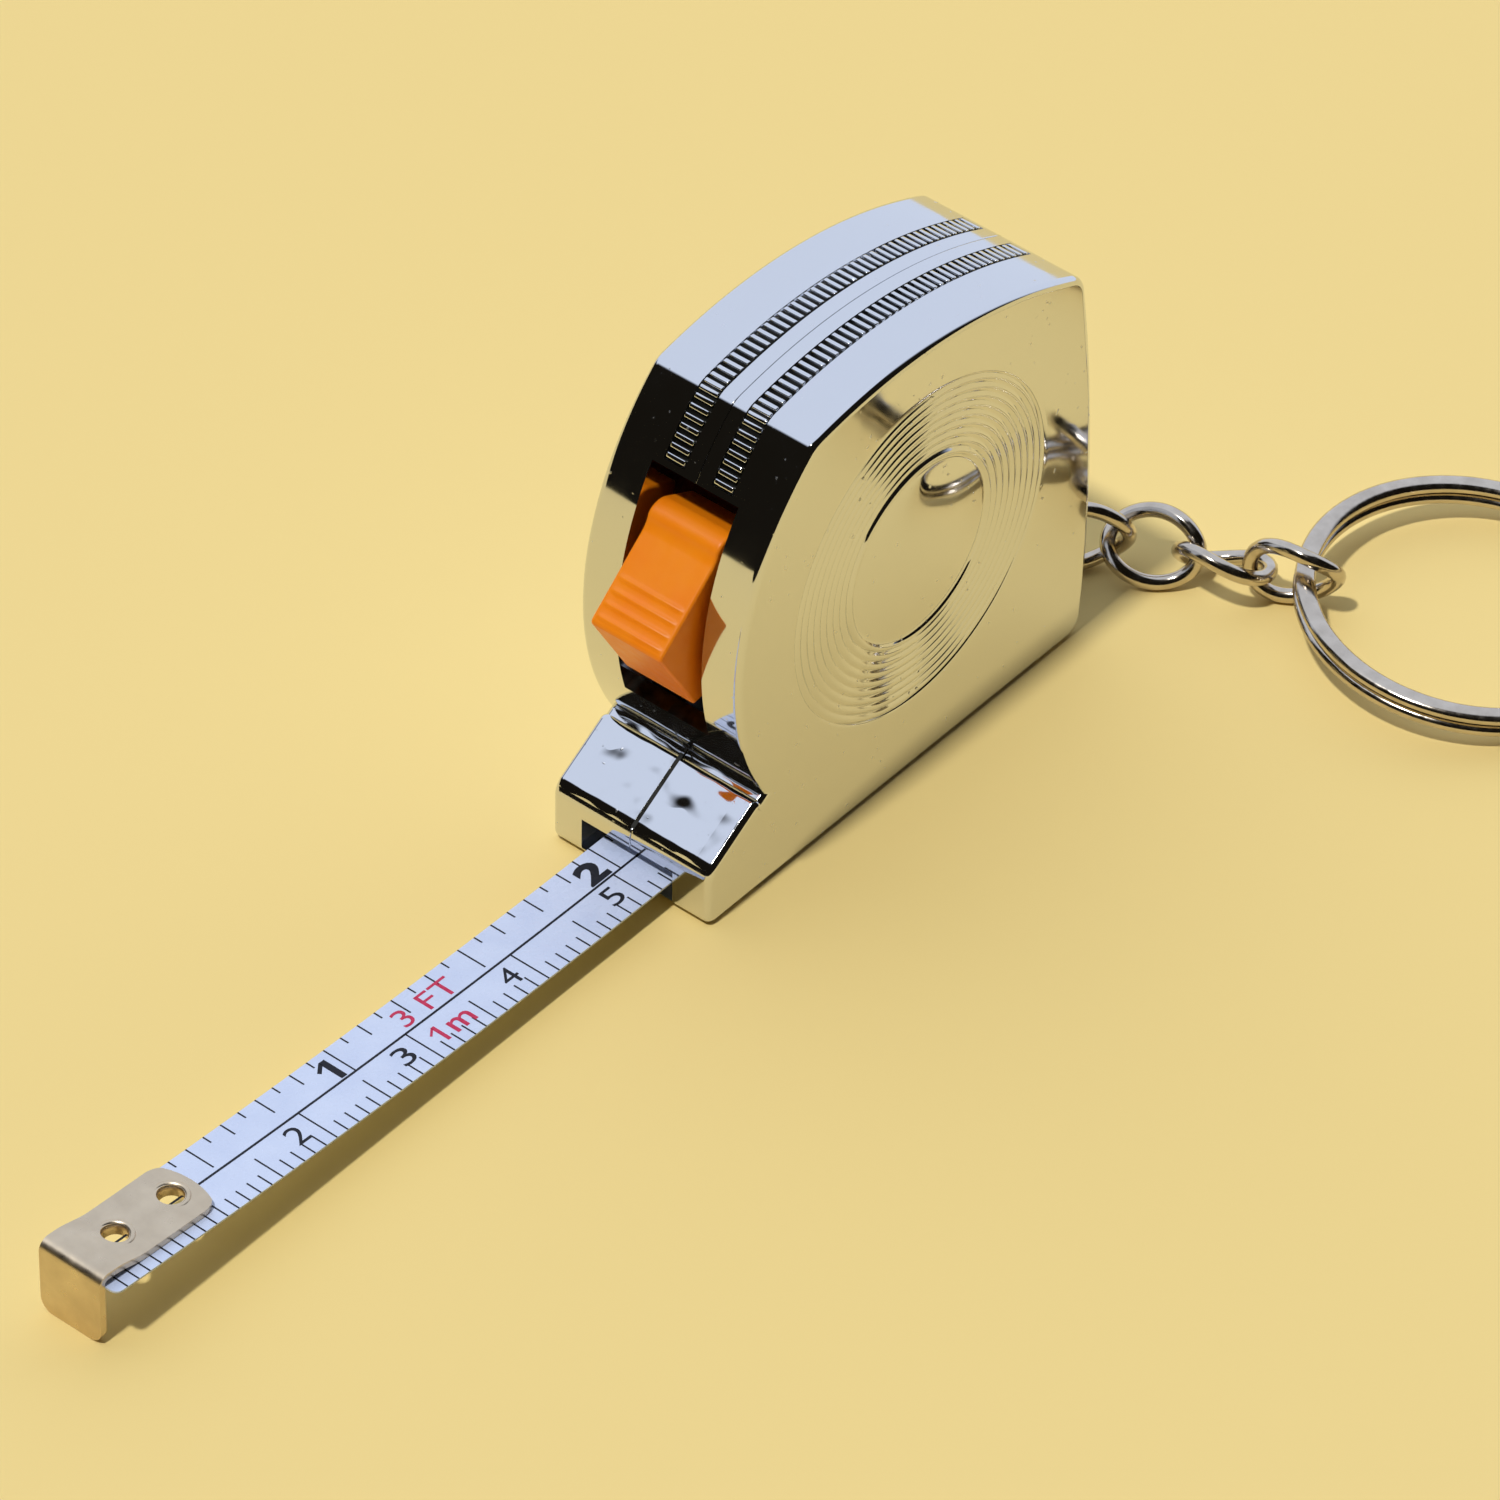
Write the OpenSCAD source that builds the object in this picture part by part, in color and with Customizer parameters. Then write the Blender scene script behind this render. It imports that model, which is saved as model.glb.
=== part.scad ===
// Key-chain pocket tape measure, one metre, drawn about 51 mm out.
// X runs from the blade's hook to the key ring, Z is up, and the origin is under the case's middle.

/* [Case] */
// Length of the case, front lip to back
case_l = 38.6; // [36:0.1:44]
// Height of the case at the top of its arch
case_h = 35.3; // [34.5:0.1:38]
// Thickness of the case over both shells
case_w = 13.2; // [12.8:0.1:16]
// Thickness of the rim walls
wall = 1.2; // [0.9:0.05:1.6]
// Thickness of the two side walls
side_wall = 1.3; // [1:0.05:1.6]
// Rounding of the two upper corners
corner_r = 2; // [1.2:0.1:3]
// Rounding of the lower back corner
heel_r = 1.6; // [1:0.1:2.5]
// Height of the raised parting line over the top
seam_h = 0.3; // [0.1:0.05:0.5]
// Width of the raised parting line
seam_w = 0.6; // [0.3:0.05:1]
// Radius of the bulging front
front_r = 21.2; // [20.5:0.1:24]
// Setback of the bulging front from the lip
front_x = 2.6; // [2:0.1:3.4]
// Height of the reel's axle above the floor
axle_z = 18.5; // [18:0.1:19]
// Radius of the arched top
top_r = 40.5; // [36:0.5:60]
// Place of the arch's highest point behind the lip
top_x = 18.5; // [16:0.5:21]
// Radius of the slightly bowed back
back_r = 120; // [80:5:200]
// Height of the back's furthest point
back_z = 10; // [6:0.5:16]

/* [Toe] */
// Height of the toe's front face
toe_h = 4.6; // [4.2:0.1:5.4]
// Height of the sloped pad's upper edge
toe_top = 8; // [7:0.1:9]
// Width of the blade's mouth
mouth_w = 7.6; // [7:0.1:8.4]
// Height of the mouth's roof
mouth_top = 3.1; // [2.8:0.1:3.6]
// Height of the sill under the mouth
sill_h = 0.6; // [0.4:0.1:1]
// Length of the front foot
foot_l = 5; // [3:0.5:8]
// Length of the back foot
heel_l = 5; // [3:0.5:8]
// Gap under the case between its feet
foot_gap = 0.25; // [0.1:0.05:0.5]

/* [Grip ribs] */
// Spacing of the ribs
rib_pitch = 0.66; // [0.5:0.02:1]
// Thickness of a rib along the case
rib_t = 0.34; // [0.2:0.02:0.45]
// Height of a rib
rib_h = 0.3; // [0.15:0.05:0.5]
// Length of a rib across the case
rib_l = 1.5; // [1:0.1:2]
// Distance of the ribs from the parting line
rib_y = 1.2; // [0.8:0.1:1.6]

/* [Side rings] */
// Outer radius of the ringed recess
ring_recess_r = 13; // [10:0.1:14]
// Radius of the plain disc in its middle
disc_r = 6.65; // [5:0.05:8]
// Spacing of the fine rings
ring_pitch = 0.64; // [0.5:0.02:1]
// Depth of the fine rings
ring_depth = 0.15; // [0.08:0.01:0.3]

/* [Lock] */
// Width of the slider's window
window_w = 7; // [6.5:0.1:7.6]
// Upper end of the window, in degrees up from level
window_top = 32.5; // [31:0.5:35]
// Lower end of the window, in degrees down from level
window_low = 16.7; // [14:0.1:20]
// Depth of the slider's curved tongue behind the bulging front
tongue_depth = 4.8; // [4.4:0.05:5]
// Thickness of the tongue
tongue_t = 0.9; // [0.7:0.05:1]
// Width of the tongue
tongue_w = 8.6; // [8.2:0.1:9]
// Upper end of the tongue, in degrees up from level
tongue_top = 37; // [34.5:0.5:40]
// Room above the thumb piece in the window, in degrees
thumb_room = 6.4; // [6.2:0.1:8]
// Room below the thumb piece in the window, in degrees
thumb_foot = 8; // [6:0.5:10]
// Width of the thumb piece
thumb_w = 5.8; // [5:0.1:6.3]
// Reach of the thumb piece's nose in front of the bulge
thumb_out = 3.5; // [2.5:0.1:4.5]
// Spacing of the thumb piece's ridges
thumb_pitch = 0.93; // [0.8:0.01:1.1]
// Height of the thumb piece's ridges
thumb_ridge = 0.18; // [0.1:0.02:0.3]

/* [Blade] */
// Width of the blade
blade_w = 6; // [5.6:0.1:6.2]
// Thickness of the blade with its paint
blade_t = 0.14; // [0.12:0.01:0.2]
// Length of blade drawn out of the case
drawn_l = 51.8; // [30:0.1:90]
// Length of the whole blade
blade_l = 1000; // [900:10:1100]
// Sideways place of the blade's middle
blade_y = -0.4; // [-0.5:0.05:0]
// Height of the blade in the mouth
mouth_z = 2; // [1.6:0.05:2.2]
// Height of the blade's underside at its end
end_z = 4.6; // [4:0.1:5]

/* [Hook] */
// Width of the hook
hook_w = 5; // [4.6:0.1:5.6]
// Length of the hook's plate along the blade
hook_l = 11; // [10:0.1:12]
// Thickness of the hook's sheet
hook_t = 0.5; // [0.4:0.05:0.7]
// Bore of the two hollow rivets
rivet_bore = 1.6; // [1.3:0.1:1.8]
// Wall of the hollow rivets
rivet_t = 0.25; // [0.2:0.01:0.3]
// Distance of the first rivet from the blade's end
rivet_x = 3.6; // [3:0.1:4]
// Distance between the two rivets
rivet_pitch = 5; // [4.5:0.1:5.4]
// Sideways shift of the hook on the blade
hook_shift = 0.45; // [0:0.05:0.6]

/* [Reel] */
// Radius of the flanges
flange_r = 11.2; // [11:0.05:11.3]
// Thickness of the flanges
flange_t = 0.8; // [0.6:0.05:0.9]
// Outer radius of the drum that the blade winds on
drum_r = 8.6; // [8:0.1:8.8]
// Wall of the drum
drum_t = 0.9; // [0.7:0.05:1.2]
// Radius of the post that the reel turns on
post_r = 2.4; // [2.2:0.05:2.8]
// Thickness of the spring's strip
spring_t = 0.16; // [0.12:0.01:0.2]
// Number of turns of the spring
spring_turns = 10; // [6:1:12]

/* [Screw] */
// Radius of the screw's head
screw_head_r = 2; // [1.6:0.1:2.2]
// Thickness of the screw's head
screw_head_t = 0.9; // [0.7:0.05:1]
// Radius of the screw's shank
screw_r = 0.9; // [0.7:0.05:1.1]
// Length of the screw's shank
screw_l = 7; // [5:0.5:8]

/* [Chain] */
// Wire of the chain links
wire = 1.1; // [0.9:0.05:1.15]
// Length of a link over its wire
link_l = 7.3; // [7:0.1:7.6]
// Width of a link over its wire
link_w = 5.9; // [5.6:0.1:6.4]
// Twist of a link from end to end, in degrees
link_twist = 42; // [36:1:48]
// Radius of the peg that holds the first link
peg_r = 0.7; // [0.6:0.05:0.9]
// Height of the peg
peg_z = 4.6; // [4.4:0.1:5]
// Height of the slot in the back wall
slot_h = 7.2; // [6.6:0.1:8]
// Width of the slot in the back wall
slot_w = 6.8; // [6.4:0.1:7.4]
// Outer diameter of the split key ring
key_ring_d = 24; // [20:0.5:32]
// Width of the split ring's wire
key_wire_w = 1.4; // [1.2:0.05:1.6]
// Height of the split ring's wire
key_wire_h = 0.95; // [0.8:0.05:1]

/* [Clearances] */
// Gap beside parts that slide on each other
slide_gap = 0.15; // [0.1:0.01:0.25]
// Radial gap of the reel on its post
run_gap = 0.06; // [0.03:0.01:0.1]
// Gap between chain wires that hook into each other
chain_gap = 0.25; // [0.15:0.01:0.4]

/* [Hidden] */

$fn = 64;
eps = 0.01;
chrome = [0.82, 0.83, 0.85];
half_w = case_w / 2;
inner_w = half_w - side_wall;

front_c = [front_x + front_r, axle_z];
top_c = [top_x, case_h - top_r];
back_c = [case_l - back_r, back_z];
// the reel turns midway between the bulging front and the back
axle = [(front_x + case_l) / 2, front_c[1]];

// ---- plane geometry -------------------------------------------------

function bearing(c, p) = atan2(p[1] - c[1], p[0] - c[0]);
function arc(c, r, a0, a1, n) = [for (i = [0:n]) let (a = a0 + (a1 - a0) * i / n) c + r * [cos(a), sin(a)]];
// the same without its two ends, where it runs on from one rounding to the next
function open_arc(c, r, a0, a1, n) = [for (i = [1:n - 1]) arc(c, r, a0, a1, n)[i]];
// the left-hand crossing of two circles, seen from the first towards the second
function crossing(c1, r1, c2, r2) =
    let (d = c2 - c1, l = norm(d), a = (r1 * r1 - r2 * r2 + l * l) / (2 * l), u = d / l)
    c1 + a * u + sqrt(r1 * r1 - a * a) * [-u[1], u[0]];
// how far along u a line from p enters a circle
function entry(p, u, c, r) = let (w = p - c, b = w * u) -b - sqrt(b * b - w * w + r * r);

toe_x = front_c[0] - sqrt(front_r * front_r - pow(front_c[1] - toe_top, 2));
pad_u = [toe_x, toe_top - toe_h] / norm([toe_x, toe_top - toe_h]);

// the case's outline in the X-Z plane, set in by d
function outline(d) =
    let (fr = front_r - d, tr = top_r - d, br = back_r - d,
        cr = max(corner_r - d, 0.3), hr = max(heel_r - d, 0.3),
        k_front = crossing(top_c, tr - cr, front_c, fr - cr),
        k_back = crossing(back_c, br - cr, top_c, tr - cr),
        k_heel = [back_c[0] + sqrt(pow(br - hr, 2) - pow(d + hr - back_z, 2)), d + hr],
        pad = [0, toe_h] + d * [pad_u[1], -pad_u[0]],
        toe = pad + entry(pad, pad_u, front_c, fr) * pad_u)
    concat(
        [[d, d]],
        arc(k_heel, hr, -90, bearing(back_c, k_heel), 5),
        open_arc(back_c, br, bearing(back_c, k_heel), bearing(back_c, k_back), 8),
        arc(k_back, cr, bearing(back_c, k_back), bearing(top_c, k_back), 5),
        open_arc(top_c, tr, bearing(top_c, k_back), bearing(top_c, k_front), 16),
        arc(k_front, cr, bearing(top_c, k_front), bearing(front_c, k_front), 6),
        open_arc(front_c, fr, bearing(front_c, k_front), 360 + bearing(front_c, toe), 16),
        [toe],
        [[d, (pad + (d - pad[0]) / pad_u[0] * pad_u)[1]]]);

// ---- solids -----------------------------------------------------------

// moves from the lip's corner, where the sizes are measured, to the part's origin
module at_lip() { translate([-case_l / 2, 0, 0]) children(); }
// the right half lies at -Y; the left half is its mirror image
module on_side(left) { mirror([0, left ? 1 : 0, 0]) children(); }
// a flat outline in X-Z, thickened from -y0 to -y1
module slab(y0, y1) { translate([0, -y0, 0]) rotate([90, 0, 0]) linear_extrude(y1 - y0) children(); }
// a round bar across the case, from -y0 to -y1
module bar(c, r, y0, y1) { translate([c[0], -y0, c[1]]) rotate([90, 0, 0]) cylinder(r = r, h = y1 - y0); }
// joins successive rings of points into one solid
module skin(rings, closed = false) {
    n = len(rings[0]);
    m = len(rings);
    polyhedron(
        points = [for (ring = rings) each ring],
        faces = concat(
            closed ? [] : [[for (i = [0:n - 1]) i], [for (i = [n - 1:-1:0]) (m - 1) * n + i]],
            [for (k = [0:m - (closed ? 1 : 2)]) for (i = [0:n - 1])
                let (j = (i + 1) % n, k2 = (k + 1) % m)
                each [[k * n + i, k2 * n + i, k2 * n + j], [k * n + i, k2 * n + j, k * n + j]]]));
}
// a sector of a ring about the front's centre, between two radii and two angles above level
module front_sector(r0, r1, a0, a1) {
    translate(front_c) polygon(concat(
        [for (i = [0:12]) let (a = 180 - a0 - (a1 - a0) * i / 12) r1 * [cos(a), sin(a)]],
        [for (i = [12:-1:0]) let (a = 180 - a0 - (a1 - a0) * i / 12) r0 * [cos(a), sin(a)]]));
}

// ---- case ---------------------------------------------------------------

module half_body() {
    slab(0, half_w) polygon(outline(0));
}

// the raised parting line over the front and top
module seam() {
    slab(0, seam_w / 2) intersection() {
        polygon(outline(-seam_h));
        translate([-5, front_c[1] + front_r * sin(window_top + 2)]) square([case_l + 10, case_h]);
    }
}

// grip ribs set about centre c at radius r, from angle a0 to a1
module rib_run(c, r, a0, a1) {
    step = rib_pitch / r * 180 / PI;
    for (a = [a0:step:a1])
        translate([c[0], -rib_y - rib_l, c[1]]) rotate([0, -a, 0])
            translate([r - rib_h, 0, -rib_t / 2]) cube([2 * rib_h, rib_l, rib_t]);
}

module grip_ribs() {
    cr = corner_r;
    k_front = crossing(top_c, top_r - cr, front_c, front_r - cr);
    k_back = crossing(back_c, back_r - cr, top_c, top_r - cr);
    turn = rib_pitch * 180 / PI;
    a_top = bearing(top_c, k_front);
    a_front = bearing(front_c, k_front);
    rib_run(top_c, top_r, bearing(top_c, k_back), a_top);
    rib_run(k_front, cr, a_top + turn / cr, a_front - turn / cr / 3);
    rib_run(front_c, front_r, a_front + turn / front_r, 180 - window_top - 1.5);
}

// the fine rings, cut as shallow grooves round the plain disc
module side_rings() {
    ring_n = floor((ring_recess_r - disc_r) / ring_pitch);
    for (i = [0:ring_n - 1]) {
        r = disc_r + ring_pitch * i;
        translate([axle[0], -half_w + ring_depth, axle[1]]) rotate([90, 0, 0]) difference() {
            cylinder(r = r + ring_pitch / 2, h = 1);
            translate([0, 0, -1]) cylinder(r = r, h = 3);
        }
    }
}

// ---- path of the blade --------------------------------------------------------

coil_in_r = drum_r;
wound_l = blade_l - drawn_l;
coil_r = sqrt(coil_in_r * coil_in_r + wound_l * blade_t / PI);
// slope at which the blade climbs from the mouth to touch the coil
mouth_p = [1, mouth_z];
climb = atan2(axle[1] - mouth_z, axle[0] - mouth_p[0])
    - asin((coil_r + slide_gap) / norm(axle - mouth_p));
climb_l = sqrt(pow(norm(axle - mouth_p), 2) - pow(coil_r + slide_gap, 2)) - 0.5;
mouth_shift = 0.65;
mouth_y = blade_y + mouth_shift;
// places across the case are measured from the parting plane towards the right side
coil_y0 = -blade_y - blade_w / 2;
coil_y1 = -blade_y + blade_w / 2;
reel_y0 = coil_y0 - slide_gap - flange_t;
reel_y1 = coil_y1 + slide_gap + flange_t;
boss_r = post_r + 1.2;
post_end = -inner_w + 1.2;

// ---- shells -----------------------------------------------------------------

// radii of the tongue, the window's cheeks and the rails behind the tongue
tongue_r = front_r - tongue_depth;
cheek_r = tongue_r + slide_gap;
rail_r = tongue_r - tongue_t - slide_gap;
rail_t = 0.6;
rail_lap = 0.6;
rail_a = 26;
rail_len = 12;
pin_r = 0.7;
pin_boss_r = pin_r + 1;
pins = [[top_x - 3, case_h - wall - 2], [case_l - wall - 2.4, case_h - 9.3], [case_l - 7, wall + 1.3]];
pin_l = 2.5;
slot_z = wall;
anvil_l = 4;
// where the mouth's roof starts to climb, and where the mouth opens into the shell
roof_x = mouth_p[0] + (mouth_top - mouth_z - blade_t - 2 * slide_gap) / tan(climb);
mouth_end = toe_x + wall + 0.5;
function blade_roof(x) = mouth_top + (x - roof_x) * tan(climb);
peg_x = case_l - wall - 0.1;

// the places of the window, mouth, feet, chain slot and rings; the mouth is off centre by shift
module shell_cuts(shift) {
    slab(-eps, window_w / 2) front_sector(cheek_r - 0.5, front_r + 3, -window_low, window_top);
    slab(-shift - mouth_w / 2, mouth_w / 2 - shift) polygon([[-1, sill_h], [-1, mouth_top],
        [roof_x, mouth_top], [mouth_end, blade_roof(mouth_end)], [mouth_end, sill_h]]);
    translate([foot_l, -half_w - 1, -1]) cube([case_l - foot_l - heel_l, half_w + 2, 1 + foot_gap]);
    translate([case_l - 2 * wall, -slot_w / 2, slot_z]) cube([4 * wall, slot_w, slot_h]);
    side_rings();
}

// what stands inside a shell: cheeks, rails, the mouth's cheek and roof, and the bosses round the pins
module shell_inside(shift) {
    slab(window_w / 2, half_w) front_sector(cheek_r, front_r, -window_low - 6, window_top + 4);
    slab(tongue_w / 2 + slide_gap, half_w) front_sector(rail_r - rail_t, cheek_r + eps, -rail_a, rail_a);
    for (a = [-rail_a, rail_a - rail_len])
        slab(tongue_w / 2 - rail_lap, half_w) front_sector(rail_r - rail_t, rail_r, a, a + rail_len);
    slab(mouth_w / 2 - shift, half_w) square([toe_x + wall, toe_top - 1]);
    slab(-eps, half_w) polygon([[wall / 2, mouth_top], [wall / 2, toe_h], [toe_x, toe_top + 1],
        [toe_x + wall, toe_top + 1], [toe_x + wall, blade_roof(toe_x + wall)], [roof_x, mouth_top]]);
    for (p = pins) bar(p, pin_boss_r, -eps, half_w);
}

module half_shell(shift) {
    difference() {
        union() {
            difference() {
                union() {
                    half_body();
                    seam();
                }
                slab(-1, inner_w) polygon(outline(wall));
            }
            intersection() {
                half_body();
                shell_inside(shift);
            }
            grip_ribs();
        }
        shell_cuts(shift);
        slab(-10, 0) translate([-10, -10]) square([case_l + 20, case_h + 20]);
    }
}

// the lower jaw that the lock presses the blade against
module anvil() {
    mid_x = jaw_x - anvil_l / 2;
    for (q = [[-blade_w / 2 - blade_y, wall + slide_gap], [eps, wall / 2]])
        slab(q[0], inner_w + eps) polygon([[jaw_x - anvil_l, q[1]], [mid_x, blade_rise(mid_x) - slide_gap],
            [jaw_x, blade_rise(jaw_x) - slide_gap], [jaw_x + 1, q[1]]]);
}

module case_right() {
    color(chrome) at_lip() difference() {
        union() {
            half_shell(mouth_y);
            anvil();
            bar(axle, boss_r, reel_y1 + slide_gap, inner_w + eps);
            bar(axle, post_r, post_end, inner_w + eps);
            bar([peg_x, peg_z], peg_r, -slot_w / 2 + slide_gap, half_w - side_wall + eps);
        }
        bar(axle, screw_r + 0.02, post_end - 1, post_end + screw_l);
        for (p = pins) bar(p, pin_r + 0.05, -1, pin_l + 0.3);
    }
}

module case_left() {
    color(chrome) at_lip() difference() {
        union() {
            on_side(true) half_shell(-mouth_y);
            bar(axle, boss_r, -inner_w - eps, reel_y0 - slide_gap);
            for (p = pins) bar(p, pin_r, -1, pin_l);
        }
        bar(axle, post_r + 0.05, post_end - 0.05, 0);
        bar(axle, screw_r + 0.1, -half_w - 1, 0);
        bar(axle, screw_head_r + 0.1, -half_w - 1, -half_w + ring_depth + screw_head_t);
    }
}

module case_screw() {
    head_y = half_w - ring_depth - screw_head_t;
    color("dimgray") at_lip() difference() {
        union() {
            bar(axle, screw_head_r, -head_y - screw_head_t, -head_y);
            bar(axle, screw_r, -head_y - eps, -head_y + screw_l);
        }
        for (a = [0, 90]) translate([axle[0], head_y + screw_head_t, axle[1]]) rotate([0, a, 0])
            cube([2.2, 0.9, 0.5], center = true);
    }
}

// ---- lock ---------------------------------------------------------------------

// the thumb piece's outline: shoulder, sloped ridged face, nose and undercut
nose_r = front_r + thumb_out;
nose_a = 6.3;
crest_a = 21;
function front_at(r, a) = front_c + r * [-cos(a), sin(a)];
thumb_low = -window_low + thumb_foot;
thumb_top = window_top - thumb_room;
shoulder_in = 1.4;
shoulder_a = 2.2;

module ridges() {
    p0 = front_at(nose_r, nose_a);
    p1 = front_at(front_r - 0.6, crest_a);
    u = (p1 - p0) / norm(p1 - p0);
    for (i = [1:4]) translate(p0 + u * thumb_pitch * (i - 0.35)) circle(r = 2 * thumb_ridge, $fn = 24);
}

module lock_slider() {
    color("darkorange") at_lip() {
        slab(-thumb_w / 2, thumb_w / 2) {
            polygon(concat(
                [front_at(nose_r, nose_a), front_at(front_r + 0.1, thumb_low)],
                [front_at(tongue_r - 0.1, thumb_low), front_at(tongue_r - 0.1, thumb_top)],
                [front_at(front_r - shoulder_in, thumb_top),
                    front_at(front_r - shoulder_in / 3, thumb_top - shoulder_a),
                    front_at(front_r - 0.6, crest_a)]));
            ridges();
        }
        slab(-tongue_w / 2, tongue_w / 2) front_sector(tongue_r - tongue_t, tongue_r, jaw_a, tongue_top);
    }
}

// ---- blade, hook and reel -------------------------------------------------------

// the lock's jaws close on the blade where the tongue's lower end reaches it
jaw_drop = front_c[1] - mouth_z - (front_c[0] - mouth_p[0]) * tan(climb) - blade_t - slide_gap / cos(climb);
jaw_a = -asin(jaw_drop * cos(climb) / tongue_r) - climb;
jaw_x = front_at(tongue_r, jaw_a)[0];
// height of the blade's underside at x; outside the case it lifts towards the hook
function blade_rise(x) = x < mouth_p[0]
    ? mouth_z + (end_z - mouth_z) * pow(max(-x, 0) / drawn_l, 2)
    : mouth_z + (x - mouth_p[0]) * tan(climb);

hook_y = -blade_y - hook_shift;
hook_top = end_z + blade_t;
function rivet_at(i) = [-drawn_l + rivet_x + rivet_pitch * i, -hook_y, 0];
module rivet_holes() {
    for (i = [0, 1]) translate(rivet_at(i)) cylinder(r = rivet_bore / 2 + rivet_t, h = 20);
}

module blade_strip() {
    n = 24;
    xs = concat([for (i = [0:n]) -drawn_l * (1 - i / n)], [mouth_p[0], mouth_p[0] + climb_l * cos(climb)]);
    low = [for (x = xs) [x, blade_rise(x)]];
    color("white") at_lip() difference() {
        slab(coil_y0, coil_y1) polygon(concat(low, [for (i = [len(low) - 1:-1:0]) low[i] + [0, blade_t]]));
        rivet_holes();
    }
}

module blade_coil() {
    color("white") at_lip() difference() {
        bar(axle, coil_r, coil_y0, coil_y1);
        bar(axle, coil_in_r, coil_y0 - 1, coil_y1 + 1);
    }
}

module hook() {
    x0 = -drawn_l - hook_t;
    plate_x = [for (i = [0:10]) x0 + hook_l * i / 10];
    color("silver") at_lip() difference() {
        union() {
            // plate along the blade, with a rounded end
            intersection() {
                translate([x0, -hook_y - hook_w / 2, 0]) cube([hook_l, hook_w, 20]);
                translate([x0 + hook_l - hook_w, -hook_y, 0]) union() {
                    cylinder(r = hook_w, h = 20);
                    translate([-20, -hook_w, 0]) cube([20, 2 * hook_w, 20]);
                }
                slab(-20, 20) polygon(concat(
                    [for (x = plate_x) [x, blade_rise(x) + blade_t + eps]],
                    [for (i = [10:-1:0]) [plate_x[i], blade_rise(plate_x[i]) + blade_t + hook_t]]));
            }
            // turned-down face with rounded lower corners
            translate([x0, -hook_y, 0]) rotate([90, 0, 90]) linear_extrude(hook_t) intersection() {
                translate([-hook_w / 2, 0]) square([hook_w, hook_top + hook_t]);
                union() {
                    for (s = [-1, 1]) translate([s * (hook_w / 2 - 1), 1]) circle(r = 1);
                    translate([-hook_w / 2 + 1, 0]) square([hook_w - 2, 2]);
                    translate([-hook_w / 2, 1]) square([hook_w, hook_top + hook_t]);
                }
            }
        }
        rivet_holes();
    }
}

// the rivets' lower rims clear the sloping blade by this much
rivet_sink = 0.13;

module hook_rivet(i) {
    x = rivet_at(i)[0];
    z = blade_rise(x) - rivet_sink;
    bore_r = rivet_bore / 2;
    color("silver") at_lip() translate([x, -hook_y, 0]) difference() {
        union() {
            translate([0, 0, z]) cylinder(r = bore_r + rivet_t, h = rivet_sink + hook_t);
            translate([0, 0, z - rivet_t]) cylinder(r = bore_r + 2 * rivet_t, h = rivet_t + eps);
        }
        cylinder(r = bore_r, h = 20);
    }
}

module reel() {
    color("lightgray") at_lip() difference() {
        union() {
            bar(axle, flange_r, coil_y1 + slide_gap, reel_y1);
            bar(axle, drum_r - eps, coil_y0 - slide_gap, coil_y1 + slide_gap + eps);
        }
        bar(axle, drum_r - drum_t, coil_y0 - slide_gap - 1, coil_y1 + slide_gap);
        bar(axle, post_r + run_gap, -inner_w, inner_w);
    }
}

module reel_cover() {
    color("gray") at_lip() difference() {
        bar(axle, flange_r, reel_y0, coil_y0 - slide_gap);
        bar(axle, post_r + run_gap, -inner_w, inner_w);
    }
}

// the clock spring runs from the post out to the drum in evenly spaced turns
module return_spring() {
    r0 = post_r + 0.3;
    r1 = drum_r - drum_t - 0.3;
    n = 24 * spring_turns;
    edge = [for (i = [0:n]) let (r = r0 + (r1 - r0 - spring_t) * i / n, a = 15 * i) [r * cos(a), r * sin(a)]];
    color("slategray") at_lip() slab(coil_y0 + 0.2, coil_y1 - 0.2) translate(axle)
        polygon(concat(edge, [for (i = [n:-1:0]) edge[i] * (1 + spring_t / norm(edge[i]))]));
}

// ---- chain ----------------------------------------------------------------------

// heading in plan and roll of each link, in degrees
link_turn = [[-25, 135], [-37, 92], [-66, 50], [-67, -34], [-73, 103]];
// height of the hinge point at each link's start, and at the key ring
hinge_z = [peg_z, 3.6, 2.5, 2.45, 2.3, 3.25];
ring_turn = -59;

link_a = (link_l - wire) / 2;
link_b = (link_w - wire) / 2;
link_step = link_a - (wire + chain_gap) / 2;
key_slack = 1;
key_r = (key_ring_d - key_wire_w) / 2;
// distances from a link's middle to its two hinge points
function reach_in(i) = i == 0 ? link_a - wire / 2 - peg_r - chain_gap : link_step;
function reach_out(i) = i == 4 ? link_a - wire / 2 - key_slack - key_wire_w / 2 : link_step;
function dip(i) = asin((hinge_z[i] - hinge_z[i + 1]) / (reach_in(i) + reach_out(i)));
function ahead(i) = let (h = link_turn[i][0], p = dip(i)) [cos(h) * cos(p), sin(h) * cos(p), -sin(p)];
function hinge(i) = i == 0
    ? [peg_x, 0, peg_z]
    : hinge(i - 1) + (reach_in(i - 1) + reach_out(i - 1)) * ahead(i - 1);

module chain_link(i) {
    m = 36;
    sides = 8;
    twist = link_twist / 2;
    roll = link_turn[i][1];
    mid = [for (k = [0:m]) let (t = 360 * k / m, f = roll + twist * cos(t))
        [link_a * cos(t), link_b * sin(t) * cos(f), link_b * sin(t) * sin(f)]];
    color("silver") at_lip() translate(hinge(i) + reach_in(i) * ahead(i))
        rotate([0, dip(i), link_turn[i][0]])
        skin([for (k = [0:m - 1]) let (
            along = mid[(k + 1) % m] - mid[(k + m - 1) % m], t = along / norm(along),
            out = mid[k] - (mid[k] * t) * t, u = out / norm(out), v = cross(t, u))
            [for (s = [0:sides - 1]) let (w = 360 * s / sides)
                mid[k] + wire / 2 * (cos(w) * u + sin(w) * v)]],
            closed = true);
}

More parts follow.
